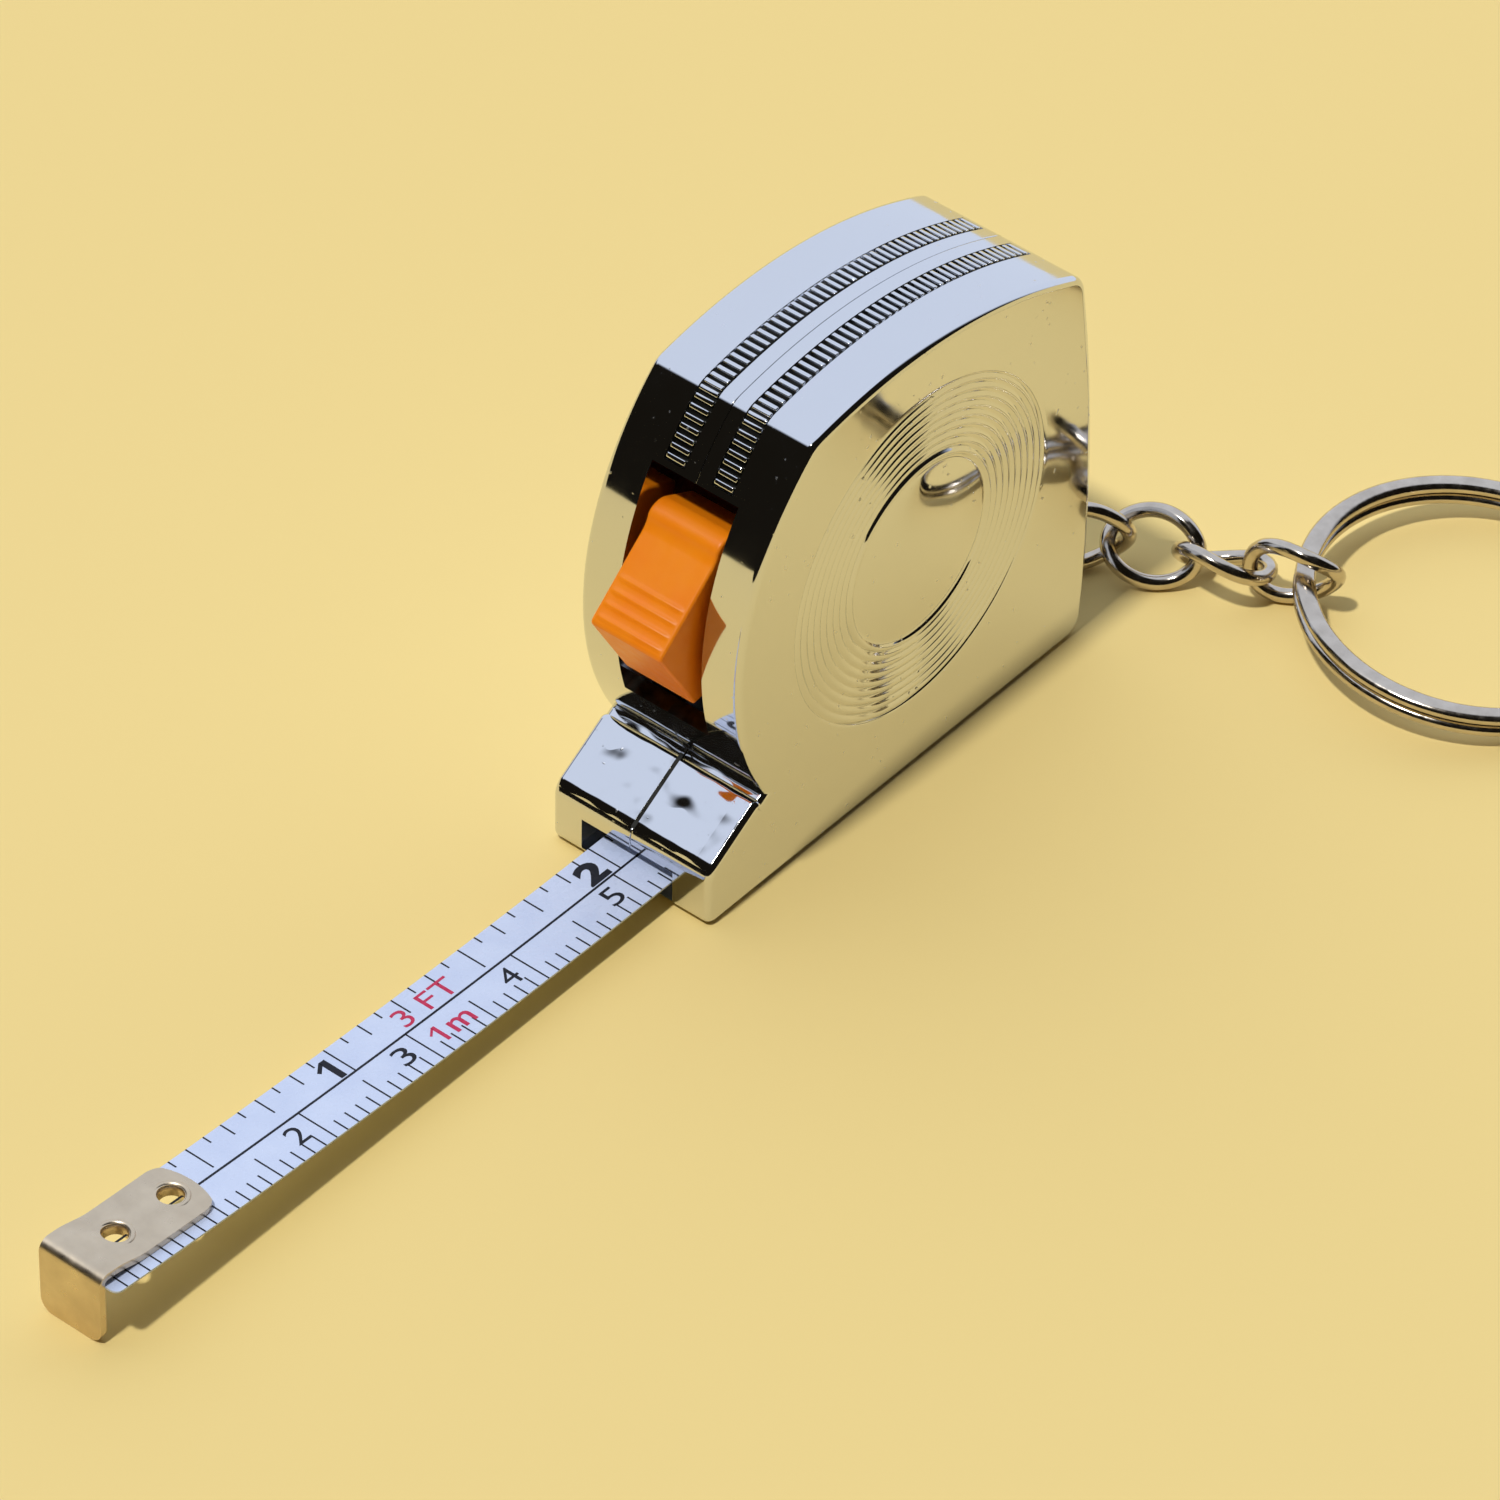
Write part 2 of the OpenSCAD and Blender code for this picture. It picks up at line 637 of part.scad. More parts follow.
// a split ring: two turns of flat wire that change level over a short ramp
module key_ring() {
    turns = [for (a = [6:7.2:714]) a];
    ramp = 24;
    tilt = asin((hinge_z[5] - key_wire_h - 0.05) / (2 * key_r));
    w = key_wire_w / 2;
    h = (key_wire_h - 0.03) / 2;
    c = 0.2;
    half = [[w, -h + c], [w, h - c], [w - c, h], [c - w, h]];
    around = concat(half, -half);
    section = [for (i = [len(around) - 1:-1:0]) around[i]];
    color("silver") at_lip() translate(hinge(5)) rotate([0, tilt, ring_turn]) translate([key_r, 0, 0])
        skin([for (a = turns) let (level = min(max((a - 360 + ramp / 2) / ramp, 0), 1))
            [for (s = section) let (r = key_r + s[0])
                [r * cos(a), r * sin(a), s[1] + key_wire_h * (level - 0.5)]]]);
}

case_left();
case_right();
case_screw();
lock_slider();
blade_strip();
blade_coil();
hook();
hook_rivet(0);  // hook_rivet_1
hook_rivet(1);  // hook_rivet_2
reel();
reel_cover();
return_spring();
chain_link(0);  // chain_link_1
chain_link(1);  // chain_link_2
chain_link(2);  // chain_link_3
chain_link(3);  // chain_link_4
chain_link(4);  // chain_link_5
key_ring();
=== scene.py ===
import bpy, bmesh, math
from mathutils import Vector, Matrix
from mathutils.bvhtree import BVHTree
from mathutils.interpolate import poly_3d_calc


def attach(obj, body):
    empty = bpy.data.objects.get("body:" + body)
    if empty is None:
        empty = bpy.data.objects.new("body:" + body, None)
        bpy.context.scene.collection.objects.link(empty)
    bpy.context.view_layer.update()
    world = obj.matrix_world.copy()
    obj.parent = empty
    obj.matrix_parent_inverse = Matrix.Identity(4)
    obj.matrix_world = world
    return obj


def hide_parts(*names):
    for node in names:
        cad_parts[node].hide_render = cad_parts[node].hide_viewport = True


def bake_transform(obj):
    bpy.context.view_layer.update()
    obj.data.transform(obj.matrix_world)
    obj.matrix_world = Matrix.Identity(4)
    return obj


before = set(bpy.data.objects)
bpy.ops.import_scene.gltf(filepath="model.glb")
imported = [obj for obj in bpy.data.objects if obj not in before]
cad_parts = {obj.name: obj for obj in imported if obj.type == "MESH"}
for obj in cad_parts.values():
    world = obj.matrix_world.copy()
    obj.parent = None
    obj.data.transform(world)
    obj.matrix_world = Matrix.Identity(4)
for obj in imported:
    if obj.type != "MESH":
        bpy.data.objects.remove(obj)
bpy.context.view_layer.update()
mm = 0.001

# angles in degrees and lengths in mm, here and in the dictionaries below
view = {"azimuth": -51.0, "elevation": 42.3, "roll": 1.33, "distance": 628.7, "focal": 232.3, "sensor": 36,
        "target": (-4.5, 2.3, 0.0)}


def makeCamera():
    a, e, r = (math.radians(view[k]) for k in ("azimuth", "elevation", "roll"))
    back = Vector((math.sin(a) * math.cos(e), -math.cos(a) * math.cos(e), math.sin(e)))
    side = Vector((0, 0, 1)).cross(back).normalized()
    up = back.cross(side)
    right = side * math.cos(r) + up * math.sin(r)
    top = up * math.cos(r) - side * math.sin(r)
    data = bpy.data.cameras.new("camera")
    data.lens, data.sensor_width = view["focal"], view["sensor"]
    data.clip_start, data.clip_end = 0.01, 10
    cam = bpy.data.objects.new("camera", data)
    bpy.context.collection.objects.link(cam)
    spot = Vector(view["target"]) * mm + back * view["distance"] * mm
    cam.matrix_world = Matrix.Translation(spot) @ Matrix((right, top, back)).transposed().to_4x4()
    bpy.context.scene.camera = cam


makeCamera()
print("camera ready")


def colour(code):
    # sRGB hex to linear
    parts = [int(code[i:i + 2], 16) / 255 for i in (0, 2, 4)]
    return tuple(c / 12.92 if c <= 0.04045 else ((c + 0.055) / 1.055) ** 2.4 for c in parts) + (1,)


def addNode(tree, kind, settings=None, links=None):
    # settings go to sockets by name or number, or else to attributes; a link is socket: (node, output)
    node = tree.nodes.new(kind)
    for name, value in (settings or {}).items():
        if isinstance(name, int) or name in node.inputs:
            node.inputs[name].default_value = value
        else:
            setattr(node, name, value)
    for name, (source, output) in (links or {}).items():
        tree.links.new(source.outputs[output], node.inputs[name])
    return node


def newMaterial(name):
    mat = bpy.data.materials.new(name)
    mat.use_nodes = True
    tree = mat.node_tree
    tree.nodes.clear()
    return mat, tree, (addNode(tree, "ShaderNodeTexCoord"), "Object")


noiseSpan = {"From Min": 0.3, "From Max": 0.7}  # where nearly all of a noise's values lie


def blotches(tree, coords, size, low=0.0, high=1.0, detail=3.0):
    # soft blotches about size mm across, spread between two values
    grain = {"Scale": 1 / (size * mm), "Detail": detail}
    noise = addNode(tree, "ShaderNodeTexNoise", grain, {"Vector": coords})
    spread = {**noiseSpan, "To Min": low, "To Max": high}
    return addNode(tree, "ShaderNodeMapRange", spread, {"Value": (noise, "Fac")})


def twoTone(tree, spread, codes):
    return addNode(tree, "ShaderNodeMix", {"data_type": "RGBA", 6: colour(codes[0]), 7: colour(codes[1])},
                   {"Factor": (spread, "Result")})


def layRelief(tree, layers):
    # layers of (height, depth in mm, strength), one on the other
    top = None
    for height, depth, strength in layers:
        links = {"Height": (height, "Result")}
        if top:
            links["Normal"] = (top, "Normal")
        top = addNode(tree, "ShaderNodeBump", {"Strength": strength, "Distance": depth * mm}, links)
    return top


def finishMaterial(tree, settings, links=None):
    shader = addNode(tree, "ShaderNodeBsdfPrincipled", settings, links)
    addNode(tree, "ShaderNodeOutputMaterial", links={"Surface": (shader, "BSDF")})


# a relief is (depth in mm, strength)
plating = {"colours": ("DCDEE2", "CFD2D8"), "haze": 2.2, "rough": (0.035, 0.09),
           "ripple": 5.0, "rippleRelief": (0.02, 0.6),
           "speck": 0.45, "speckFrom": 0.8, "speckTo": 0.86, "speckRough": 0.25, "speckRelief": (0.01, 0.5),
           "padMiddle": (-16.6, 0, 6.6), "padHalf": (2.9, 6.3, 2.05), "padFade": 0.8,
           "sink": 2.6, "sinkRelief": (0.085, 1.0)}


def sinkMarks(tree, coords):
    # the thick toe shrinks as it cools, so its pads alone mirror in broken patches
    middle, half = (Vector(plating[k]) * mm for k in ("padMiddle", "padHalf"))
    near = addNode(tree, "ShaderNodeVectorMath", {"operation": "SUBTRACT", 1: middle}, {0: coords})
    share = addNode(tree, "ShaderNodeVectorMath", {"operation": "DIVIDE", 1: half}, {0: (near, "Vector")})
    size = addNode(tree, "ShaderNodeVectorMath", {"operation": "ABSOLUTE"}, {0: (share, "Vector")})
    axes = addNode(tree, "ShaderNodeSeparateXYZ", links={0: (size, "Vector")})
    wide = addNode(tree, "ShaderNodeMath", {"operation": "MAXIMUM"}, {0: (axes, "X"), 1: (axes, "Y")})
    wide = addNode(tree, "ShaderNodeMath", {"operation": "MAXIMUM"}, {0: (wide, "Value"), 1: (axes, "Z")})
    fade = {"From Min": plating["padFade"], "From Max": 1.0, "To Min": 1.0, "To Max": 0.0}
    inside = addNode(tree, "ShaderNodeMapRange", fade, {"Value": (wide, "Value")})
    grain = {"Scale": 1 / (plating["sink"] * mm), "Detail": 1.0}
    noise = addNode(tree, "ShaderNodeTexNoise", grain, {"Vector": coords})
    links = {"Value": (noise, "Fac"), "To Max": (inside, "Result")}
    return addNode(tree, "ShaderNodeMapRange", noiseSpan, links)


def chromePlatedAbs():
    # vacuum-bright plating over moulded ABS: a mirror with the slow ripple of the moulding under it
    # and a few dull specks of dust under the plate
    mat, tree, coords = newMaterial("chromePlatedAbs")
    ripple = blotches(tree, coords, plating["ripple"], detail=1.0)
    grain = {"Scale": 1 / (plating["speck"] * mm), "Detail": 0.0}
    speck = addNode(tree, "ShaderNodeTexNoise", grain, {"Vector": coords})
    span = {"From Min": plating["speckFrom"], "From Max": plating["speckTo"]}
    dust = addNode(tree, "ShaderNodeMapRange", span, {"Value": (speck, "Fac")})
    haze = blotches(tree, coords, plating["haze"], *plating["rough"])
    rough = addNode(tree, "ShaderNodeMath", {"operation": "MULTIPLY_ADD", 1: plating["speckRough"]},
                    {0: (dust, "Result"), 2: (haze, "Result")})
    sunk = layRelief(tree, [(ripple, *plating["rippleRelief"]), (dust, *plating["speckRelief"]),
                            (sinkMarks(tree, coords), *plating["sinkRelief"])])
    shade = twoTone(tree, haze, plating["colours"])
    finishMaterial(tree, {"Metallic": 1.0},
                   {"Base Color": (shade, 2), "Roughness": (rough, "Value"), "Normal": (sunk, "Normal")})
    return mat


# blotch is how many mm across the colour's drift is, rough is (low, high, mm across) where it drifts too,
# and grain is (mm across, depth in mm, strength)
finishes = {
    # painted shade: the plating made dark between the ribs, in the toe's join and on the window's sill, where
    # shade falls in these recesses
    "paintedShadeChrome": {"colours": ("3A3934", "23221E"), "blotch": 0.8,
                       "fixed": {"Metallic": 1.0, "Roughness": 0.35}},
    # ABS moulded in a polished tool: saturated, a little uneven in colour, with a soft broad gloss
    "glossyOrangeAbs": {"colours": ("FF9210", "FD8708"), "blotch": 3.0, "rough": (0.34, 0.46, 0.9),
                        "grain": (0.35, 0.003, 0.4), "fixed": {"IOR": 1.53, "Specular IOR Level": 0.32}},
    # the thumb piece's tongue: the same orange ABS in painted shade, dull and a deep red brown where it lies
    # in shade in the window
    "shadedOrangeAbs": {"colours": ("5A1E06", "431403"), "blotch": 1.2,
                      "fixed": {"Roughness": 0.62, "IOR": 1.53, "Specular IOR Level": 0.2}},
    # cool white enamel baked on steel strip: even, with a clear film's gloss
    "stovedEnamel": {"colours": ("D3DEF6", "CAD6F1"), "blotch": 2.5, "rough": (0.22, 0.34, 0.7),
                     "fixed": {"IOR": 1.5, "Coat Weight": 0.25, "Coat Roughness": 0.12}},
    # thin screen ink, slightly starved in places
    "blackScreenInk": {"colours": ("0C0E17", "161925"), "blotch": 0.25,
                       "fixed": {"Roughness": 0.6, "IOR": 1.4}},
    "redScreenInk": {"colours": ("C01E48", "CE3A60"), "blotch": 0.25,
                     "fixed": {"Roughness": 0.6, "IOR": 1.4}},
    # tumbled or drawn steel under nickel or zinc: bright, warmer than chrome, with soft rubbed patches
    "tumbledNickelSteel": {"colours": ("DAC9AE", "CDBCA2"), "blotch": 1.6, "rough": (0.26, 0.4, 0.96),
                           "grain": (0.3, 0.004, 0.35), "fixed": {"Metallic": 1.0}},
    "nickelPlatedWire": {"colours": ("D2C8BA", "C0B6A8"), "blotch": 1.2, "rough": (0.1, 0.22, 0.72),
                         "grain": (0.3, 0.004, 0.35), "fixed": {"Metallic": 1.0}},
    "zincPlatedScrew": {"colours": ("9C9DA0", "85868A"), "blotch": 0.8, "rough": (0.25, 0.4, 0.48),
                        "grain": (0.3, 0.004, 0.35), "fixed": {"Metallic": 1.0}},
    # plain natural acetal, slightly waxy
    "mouldedAcetal": {"colours": ("D9D8D2", "CECDC6"), "blotch": 2.0,
                      "fixed": {"Roughness": 0.45, "IOR": 1.48}},
    # blued spring strip: dark, with a drawn sheen
    "temperedSpring": {"colours": ("5C6470", "4A515B"), "blotch": 1.5,
                       "fixed": {"Metallic": 1.0, "Roughness": 0.3}},
}


def makeFinish(name):
    look = finishes[name]
    mat, tree, coords = newMaterial(name)
    links = {"Base Color": (twoTone(tree, blotches(tree, coords, look["blotch"]), look["colours"]), 2)}
    if "rough" in look:
        low, high, size = look["rough"]
        links["Roughness"] = (blotches(tree, coords, size, low, high), "Result")
    if "grain" in look:
        size, depth, strength = look["grain"]
        links["Normal"] = (layRelief(tree, [(blotches(tree, coords, size), depth, strength)]), "Normal")
    finishMaterial(tree, look["fixed"], links)
    return mat


def dress(obj, *mats):
    # this puts every face on the first of them
    obj.data.materials.clear()
    for mat in mats:
        obj.data.materials.append(mat)


chrome = chromePlatedAbs()
shadow, orange, tongueInShade = map(makeFinish, ("paintedShadeChrome", "glossyOrangeAbs", "shadedOrangeAbs"))
enamel, black, red = map(makeFinish, ("stovedEnamel", "blackScreenInk", "redScreenInk"))
hookSteel, wireSteel = makeFinish("tumbledNickelSteel"), makeFinish("nickelPlatedWire")
screwSteel = makeFinish("zincPlatedScrew")
acetal, springSteel = map(makeFinish, ("mouldedAcetal", "temperedSpring"))
cadFinish = {"case_screw": screwSteel, "blade_coil": enamel, "reel": acetal, "reel_cover": acetal,
             "return_spring": springSteel}
for nodeName, mat in cadFinish.items():
    dress(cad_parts[nodeName], mat)
print("materials ready")

# pieces are built in millimetres from the lip's lower corner, with X running back and Z up
lipX = 19.3
weldGap = 1e-4


def newObject(bm, name, mats=()):
    mesh = bpy.data.meshes.new(name)
    bm.to_mesh(mesh)
    bm.free()
    for mat in mats:
        mesh.materials.append(mat)
    obj = bpy.data.objects.new(name, mesh)
    bpy.context.collection.objects.link(obj)
    return obj


def finalMesh(obj):
    # with the object's modifiers applied
    return bpy.data.meshes.new_from_object(obj.evaluated_get(bpy.context.evaluated_depsgraph_get()))


def curveMesh(curve):
    # a curve or text made a mesh
    obj = bpy.data.objects.new("bent", curve)
    bpy.context.collection.objects.link(obj)
    mesh = finalMesh(obj)
    bpy.data.objects.remove(obj)
    return mesh


def cut(obj, other, how="DIFFERENCE"):
    mod = obj.modifiers.new("cut", "BOOLEAN")
    mod.operation, mod.object, mod.solver = how, other, "MANIFOLD"
    mesh = finalMesh(obj)
    if not mesh.polygons:
        raise RuntimeError("nothing left of " + obj.name)
    obj.modifiers.clear()
    obj.data = mesh
    bpy.data.objects.remove(other)


def weld(bm, gap=weldGap):
    bmesh.ops.remove_doubles(bm, verts=bm.verts, dist=gap)


def faceOut(bm):
    bmesh.ops.recalc_face_normals(bm, faces=bm.faces)


def roundOff(bm, geom, size, segments, affect="EDGES"):
    bmesh.ops.bevel(bm, geom=geom, offset=size, segments=segments, profile=0.5, affect=affect, material=-1)


def extrudeBy(bm, faces, vec):
    grown = bmesh.ops.extrude_face_region(bm, geom=faces)
    moved = [g for g in grown["geom"] if isinstance(g, bmesh.types.BMVert)]
    bmesh.ops.translate(bm, vec=vec, verts=moved)
    return moved


def addRod(bm, radius, depth, steps, matrix):
    bmesh.ops.create_cone(bm, cap_ends=True, segments=steps, radius1=radius, radius2=radius, depth=depth,
                          matrix=matrix)


def turnRound(points, centre, axis, steps):
    # a closed line of points, spun right round
    bm = bmesh.new()
    verts = [bm.verts.new(p) for p in points]
    edges = [bm.edges.new(pair) for pair in zip(verts, verts[1:] + verts[:1])]
    bmesh.ops.spin(bm, geom=verts + edges, cent=centre, axis=axis, angle=2 * math.pi, steps=steps,
                   use_merge=True)
    weld(bm)
    bmesh.ops.dissolve_degenerate(bm, edges=bm.edges, dist=weldGap / 10)
    faceOut(bm)
    return bm


def smooth(obj, angle):
    obj.data.shade_smooth()
    obj.data.set_sharp_from_angle(angle=math.radians(angle))


def flatFaces(obj, weight=80):
    # keeps broad faces flat beside small rounded edges
    mod = obj.modifiers.new("flatFaces", "WEIGHTED_NORMAL")
    mod.keep_sharp, mod.weight = True, weight


def place(obj, body, replaces=(), angle=35):
    # to metres about the part's origin, smooth but for real corners
    obj.data.transform(Matrix.Scale(mm, 4) @ Matrix.Translation((-lipX, 0, 0)))
    if angle:
        smooth(obj, angle)
    if body:
        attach(obj, body)
    if replaces:
        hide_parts(*replaces)
    print("made", obj.name, len(obj.data.polygons))
    return obj


def cadCopy(node):
    bm = bmesh.new()
    bm.from_mesh(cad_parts[node].data)
    weld(bm, weldGap * mm)
    toMm = Matrix.Translation((lipX, 0, 0)) @ Matrix.Scale(1 / mm, 4)
    bmesh.ops.transform(bm, matrix=toMm, verts=bm.verts)
    return newObject(bm, node + "Copy")


case = {"half": 6.6, "wall": 1.2, "frontRadius": 21.2, "front": (23.8, 18.5), "axle": (20.6, 18.5),
        "topRadius": 40.5, "top": (18.5, -5.2), "backRadius": 120.0, "back": (-81.4, 10.0), "corner": 2.0,
        "heel": 1.6, "toeFace": 4.6, "toeTop": 8.0, "skin": 0.03, "edge": 0.5, "parting": 0.09,
        "padStep": 0.4, "padGap": 0.5, "padEdge": 0.52, "lip": 0.8, "coreGap": 0.05, "coreHalf": 5.4,
        "sharp": 30, "halfSharp": 40, "level": 0.4,  # degrees between faces: for a corner, and for one plane
        "steps": (8, 20, 12, 48, 14, 56)}  # of the outline's arcs, from the heel over the top to the toe
sill = {"low": 12.0, "high": 13.2, "half": 3.6, "back": 6.5, "up": 0.9}  # of the front window


def crossing(c1, r1, c2, r2):
    # the left-hand crossing of two circles, seen from the first towards the second
    a, b = Vector(c1), Vector(c2)
    gap = (b - a).length
    along = (r1 * r1 - r2 * r2 + gap * gap) / (2 * gap)
    u = (b - a) / gap
    return a + u * along + Vector((-u.y, u.x)) * math.sqrt(r1 * r1 - along * along)


def bearing(c, p):
    return math.atan2(p[1] - c[1], p[0] - c[0]) % (2 * math.pi)


def addArc(bm, c, radius, a0, a1, steps):
    first = bm.verts.new((c[0] + radius * math.cos(a0), 0, c[1] + radius * math.sin(a0)))
    last = bmesh.ops.spin(bm, geom=[first], cent=(c[0], 0, c[1]), axis=(0, -1, 0), angle=a1 - a0,
                          steps=steps)
    ends = [v for v in last["geom_last"] if isinstance(v, bmesh.types.BMVert)]
    return first, ends[0]


def corners(d):
    # radius and centres of the case's two upper roundings, for an outline set in by d
    cr = case["corner"] - d
    front = crossing(case["top"], case["topRadius"] - d - cr, case["front"], case["frontRadius"] - d - cr)
    back = crossing(case["back"], case["backRadius"] - d - cr, case["top"], case["topRadius"] - d - cr)
    return cr, front, back


def toeSlope():
    # from the toe's front edge up to where the front's arc begins
    x, z = case["front"]
    back = x - math.sqrt(case["frontRadius"] ** 2 - (z - case["toeTop"]) ** 2)
    return Vector((back, 0, case["toeTop"] - case["toeFace"]))


def addOutline(bm, d, step):
    # the case's outline, set in by d, with the toe pad standing proud of the front by step;
    # returns the points of pad and lip that are then rounded
    cr, kFront, kBack = corners(d)
    front, top, back = case["front"], case["top"], case["back"]
    fr, tr, br, hr = (case[k] - d for k in ("frontRadius", "topRadius", "backRadius", "heel"))
    kHeel = (back[0] + math.sqrt((br - hr) ** 2 - (d + hr - back[1]) ** 2), d + hr)
    u = toeSlope().xz.normalized()
    n = Vector((-u.y, u.x))
    pad = Vector((0, case["toeFace"])) - n * d
    low = pad - n * step
    w = low - Vector(front)
    b = w.dot(u)
    meet = low + u * (-b - math.sqrt(b * b - w.length_squared + fr * fr))
    heelEnd = bearing(back, kHeel)
    turns = [-math.pi / 2, heelEnd - 2 * math.pi if heelEnd > math.pi else heelEnd, bearing(back, kBack),
             bearing(top, kBack), bearing(top, kFront), bearing(front, kFront), bearing(front, meet)]
    centres, radii = (kHeel, back, kBack, top, kFront, front), (hr, br, cr, tr, cr, fr)
    arcs = [addArc(bm, *arc) for arc in zip(centres, radii, turns, turns[1:], case["steps"])]
    foot = meet - u * case["padGap"]
    lip = pad + u * ((d - pad.x) / u.x)
    points = ([foot, foot + n * step] if step else []) + [lip, Vector((d, d))]
    line = [arcs[-1][1]] + [bm.verts.new((p.x, 0, p.y)) for p in points] + [arcs[0][0]]
    for pair in zip(line, line[1:]):
        bm.edges.new(pair)
    return line[-4:-1] if step else []


def addSlab(bm, d, y0, y1, step=0.0):
    # a slab with the case's outline
    for vert, size in zip(addOutline(bm, d, step), (case["padEdge"], case["lip"], case["lip"])):
        roundOff(bm, [vert], size, 6, "VERTICES")
    weld(bm, weldGap * 10)
    face = bmesh.ops.contextual_create(bm, geom=bm.edges)["faces"]
    bmesh.ops.translate(bm, vec=(0, y0, 0), verts=bm.verts)
    extrudeBy(bm, face, (0, y1 - y0, 0))
    faceOut(bm)


def atY(bm, y):
    return [e for e in bm.edges if all(abs(v.co.y - y) < weldGap for v in e.verts)]


def roundedHalf(side):
    # half the case as a solid block, its outer rim and its parting edge rounded
    bm = bmesh.new()
    outer = case["half"] - case["skin"]
    addSlab(bm, case["skin"], 0, -outer, case["padStep"])
    roundOff(bm, atY(bm, -outer), case["edge"], 5)
    roundOff(bm, atY(bm, 0), case["parting"], 2)
    if side > 0:
        bmesh.ops.scale(bm, vec=(1, -1, 1), verts=bm.verts)
        faceOut(bm)
    return newObject(bm, "half")


def innerBlock():
    bm = bmesh.new()
    addSlab(bm, case["wall"] + case["coreGap"], -case["coreHalf"], case["coreHalf"])
    return newObject(bm, "inner")


shading = {"inward": 0.01, "near": 0.02, "alike": 0.94}


def borrowNormals(obj, clean):
    # the cut skin takes the smooth shading of the uncut half, so no cut shows as a smear beside it
    flatFaces(clean)
    source = finalMesh(clean)
    tree = BVHTree.FromPolygons([v.co for v in source.vertices], [list(p.vertices) for p in source.polygons])
    mesh = obj.data
    normals = [Vector(c.vector) for c in mesh.corner_normals]
    for face in mesh.polygons:
        for loop in face.loop_indices:
            spot = mesh.vertices[mesh.loops[loop].vertex_index].co
            near, normal, index, gap = tree.find_nearest(spot.lerp(face.center, shading["inward"]))
            if gap > shading["near"] or normal.dot(face.normal) < shading["alike"]:
                continue
            under = source.polygons[index]
            weights = poly_3d_calc([source.vertices[v].co for v in under.vertices], near)
            normals[loop] = sum((Vector(source.corner_normals[k].vector) * w
                                 for k, w in zip(under.loop_indices, weights)), Vector()).normalized()
    mesh.normals_split_custom_set(normals)
    bpy.data.meshes.remove(source)
    bpy.data.objects.remove(clean)


# edges are (distance, drop under the side face)
rings = {"recess": 13.02, "pocket": 0.3, "under": 0.05, "disc": 6.65, "pitch": 0.64, "count": 9,
         "height": 0.13, "bead": 0.16, "valley": 0.1, "crown": 1.3, "facets": 8, "hole": 2.1,
         "holeEdge": 0.12, "discEdge": ((0.45, 0.0), (0.2, 0.07), (0.0, 0.09)),
         "lastEdge": ((0.1, 0.02), (0.2, 0.0)), "over": 1.0, "steps": 180}


def ringProfile():
    # (radius, height over the side face) from the middle outwards
    disc, pitch, valley = rings["disc"], rings["pitch"], rings["valley"]
    points = [(0.0, 0.0)] + [(disc - inset, -drop) for inset, drop in rings["discEdge"]]
    for i in range(rings["count"]):
        high = rings["height"] + (rings["bead"] - valley if i == 0 else 0)
        for k in range(1, rings["facets"] + 1):
            t = k / rings["facets"]
            rise = math.sin(math.pi * t) ** rings["crown"]
            points.append((disc + pitch * i + pitch * t, high * rise - valley))
    edge = disc + pitch * rings["count"]
    return points + [(edge + out, -drop) for out, drop in rings["lastEdge"]] + [(rings["recess"], 0.0)]


def ringPlate(side):
    # the fine rings round the plain disc, turned as one plate that fills the pocket in the side,
    # on the left with a hole for the screw
    (x, z), out = case["axle"], case["half"] - case["skin"]
    profile = ringProfile()
    if side > 0:
        profile[:1] = [(rings["hole"], -rings["holeEdge"]), (rings["hole"] + rings["holeEdge"], 0.0)]
    floor = -rings["pocket"] - rings["under"]
    profile = [(profile[0][0], floor)] + profile + [(rings["recess"], floor)]
    points = [(x + r, side * (out + h), z) for r, h in profile]
    bm = turnRound(points, (x, 0, z), (0, 1, 0), rings["steps"])
    return newObject(bm, "sideRingsLeft" if side > 0 else "sideRingsRight", [chrome])


ribs = {"pitch": 0.66, "thick": 0.36, "long": 1.5, "y": 1.2, "proud": 0.04, "sunk": 0.34, "root": 0.1,
        "edge": 0.08, "room": 0.1, "over": 0.8, "windowTop": 32.5, "windowGap": 1.2, "floor": (0.1, -0.06),
        "floorGap": 0.02, "steps": (48, 10, 10)}


def gripPath(d):
    # the arcs that the ribs follow, from the back corner over the top to the window
    cr, kFront, kBack = corners(0)
    top, front = case["top"], case["front"]
    turns = [bearing(top, kBack), bearing(top, kFront), bearing(front, kFront),
             math.radians(180 - ribs["windowTop"] - ribs["windowGap"])]
    radii = (case["topRadius"] - d, cr - d, case["frontRadius"] - d)
    return list(zip((top, kFront, front), radii, turns, turns[1:], ribs["steps"]))


def gripBand(name, low, high, y0, y1, mats=()):
    # a strip that follows the ribs, between two depths
    bm = bmesh.new()
    for d in (low, high):
        for arc in gripPath(d):
            addArc(bm, *arc)
    weld(bm, weldGap * 20)
    bmesh.ops.bridge_loops(bm, edges=bm.edges)
    bmesh.ops.translate(bm, vec=(0, y0, 0), verts=bm.verts)
    extrudeBy(bm, bm.faces[:], (0, y1 - y0, 0))
    faceOut(bm)
    return newObject(bm, name, mats)


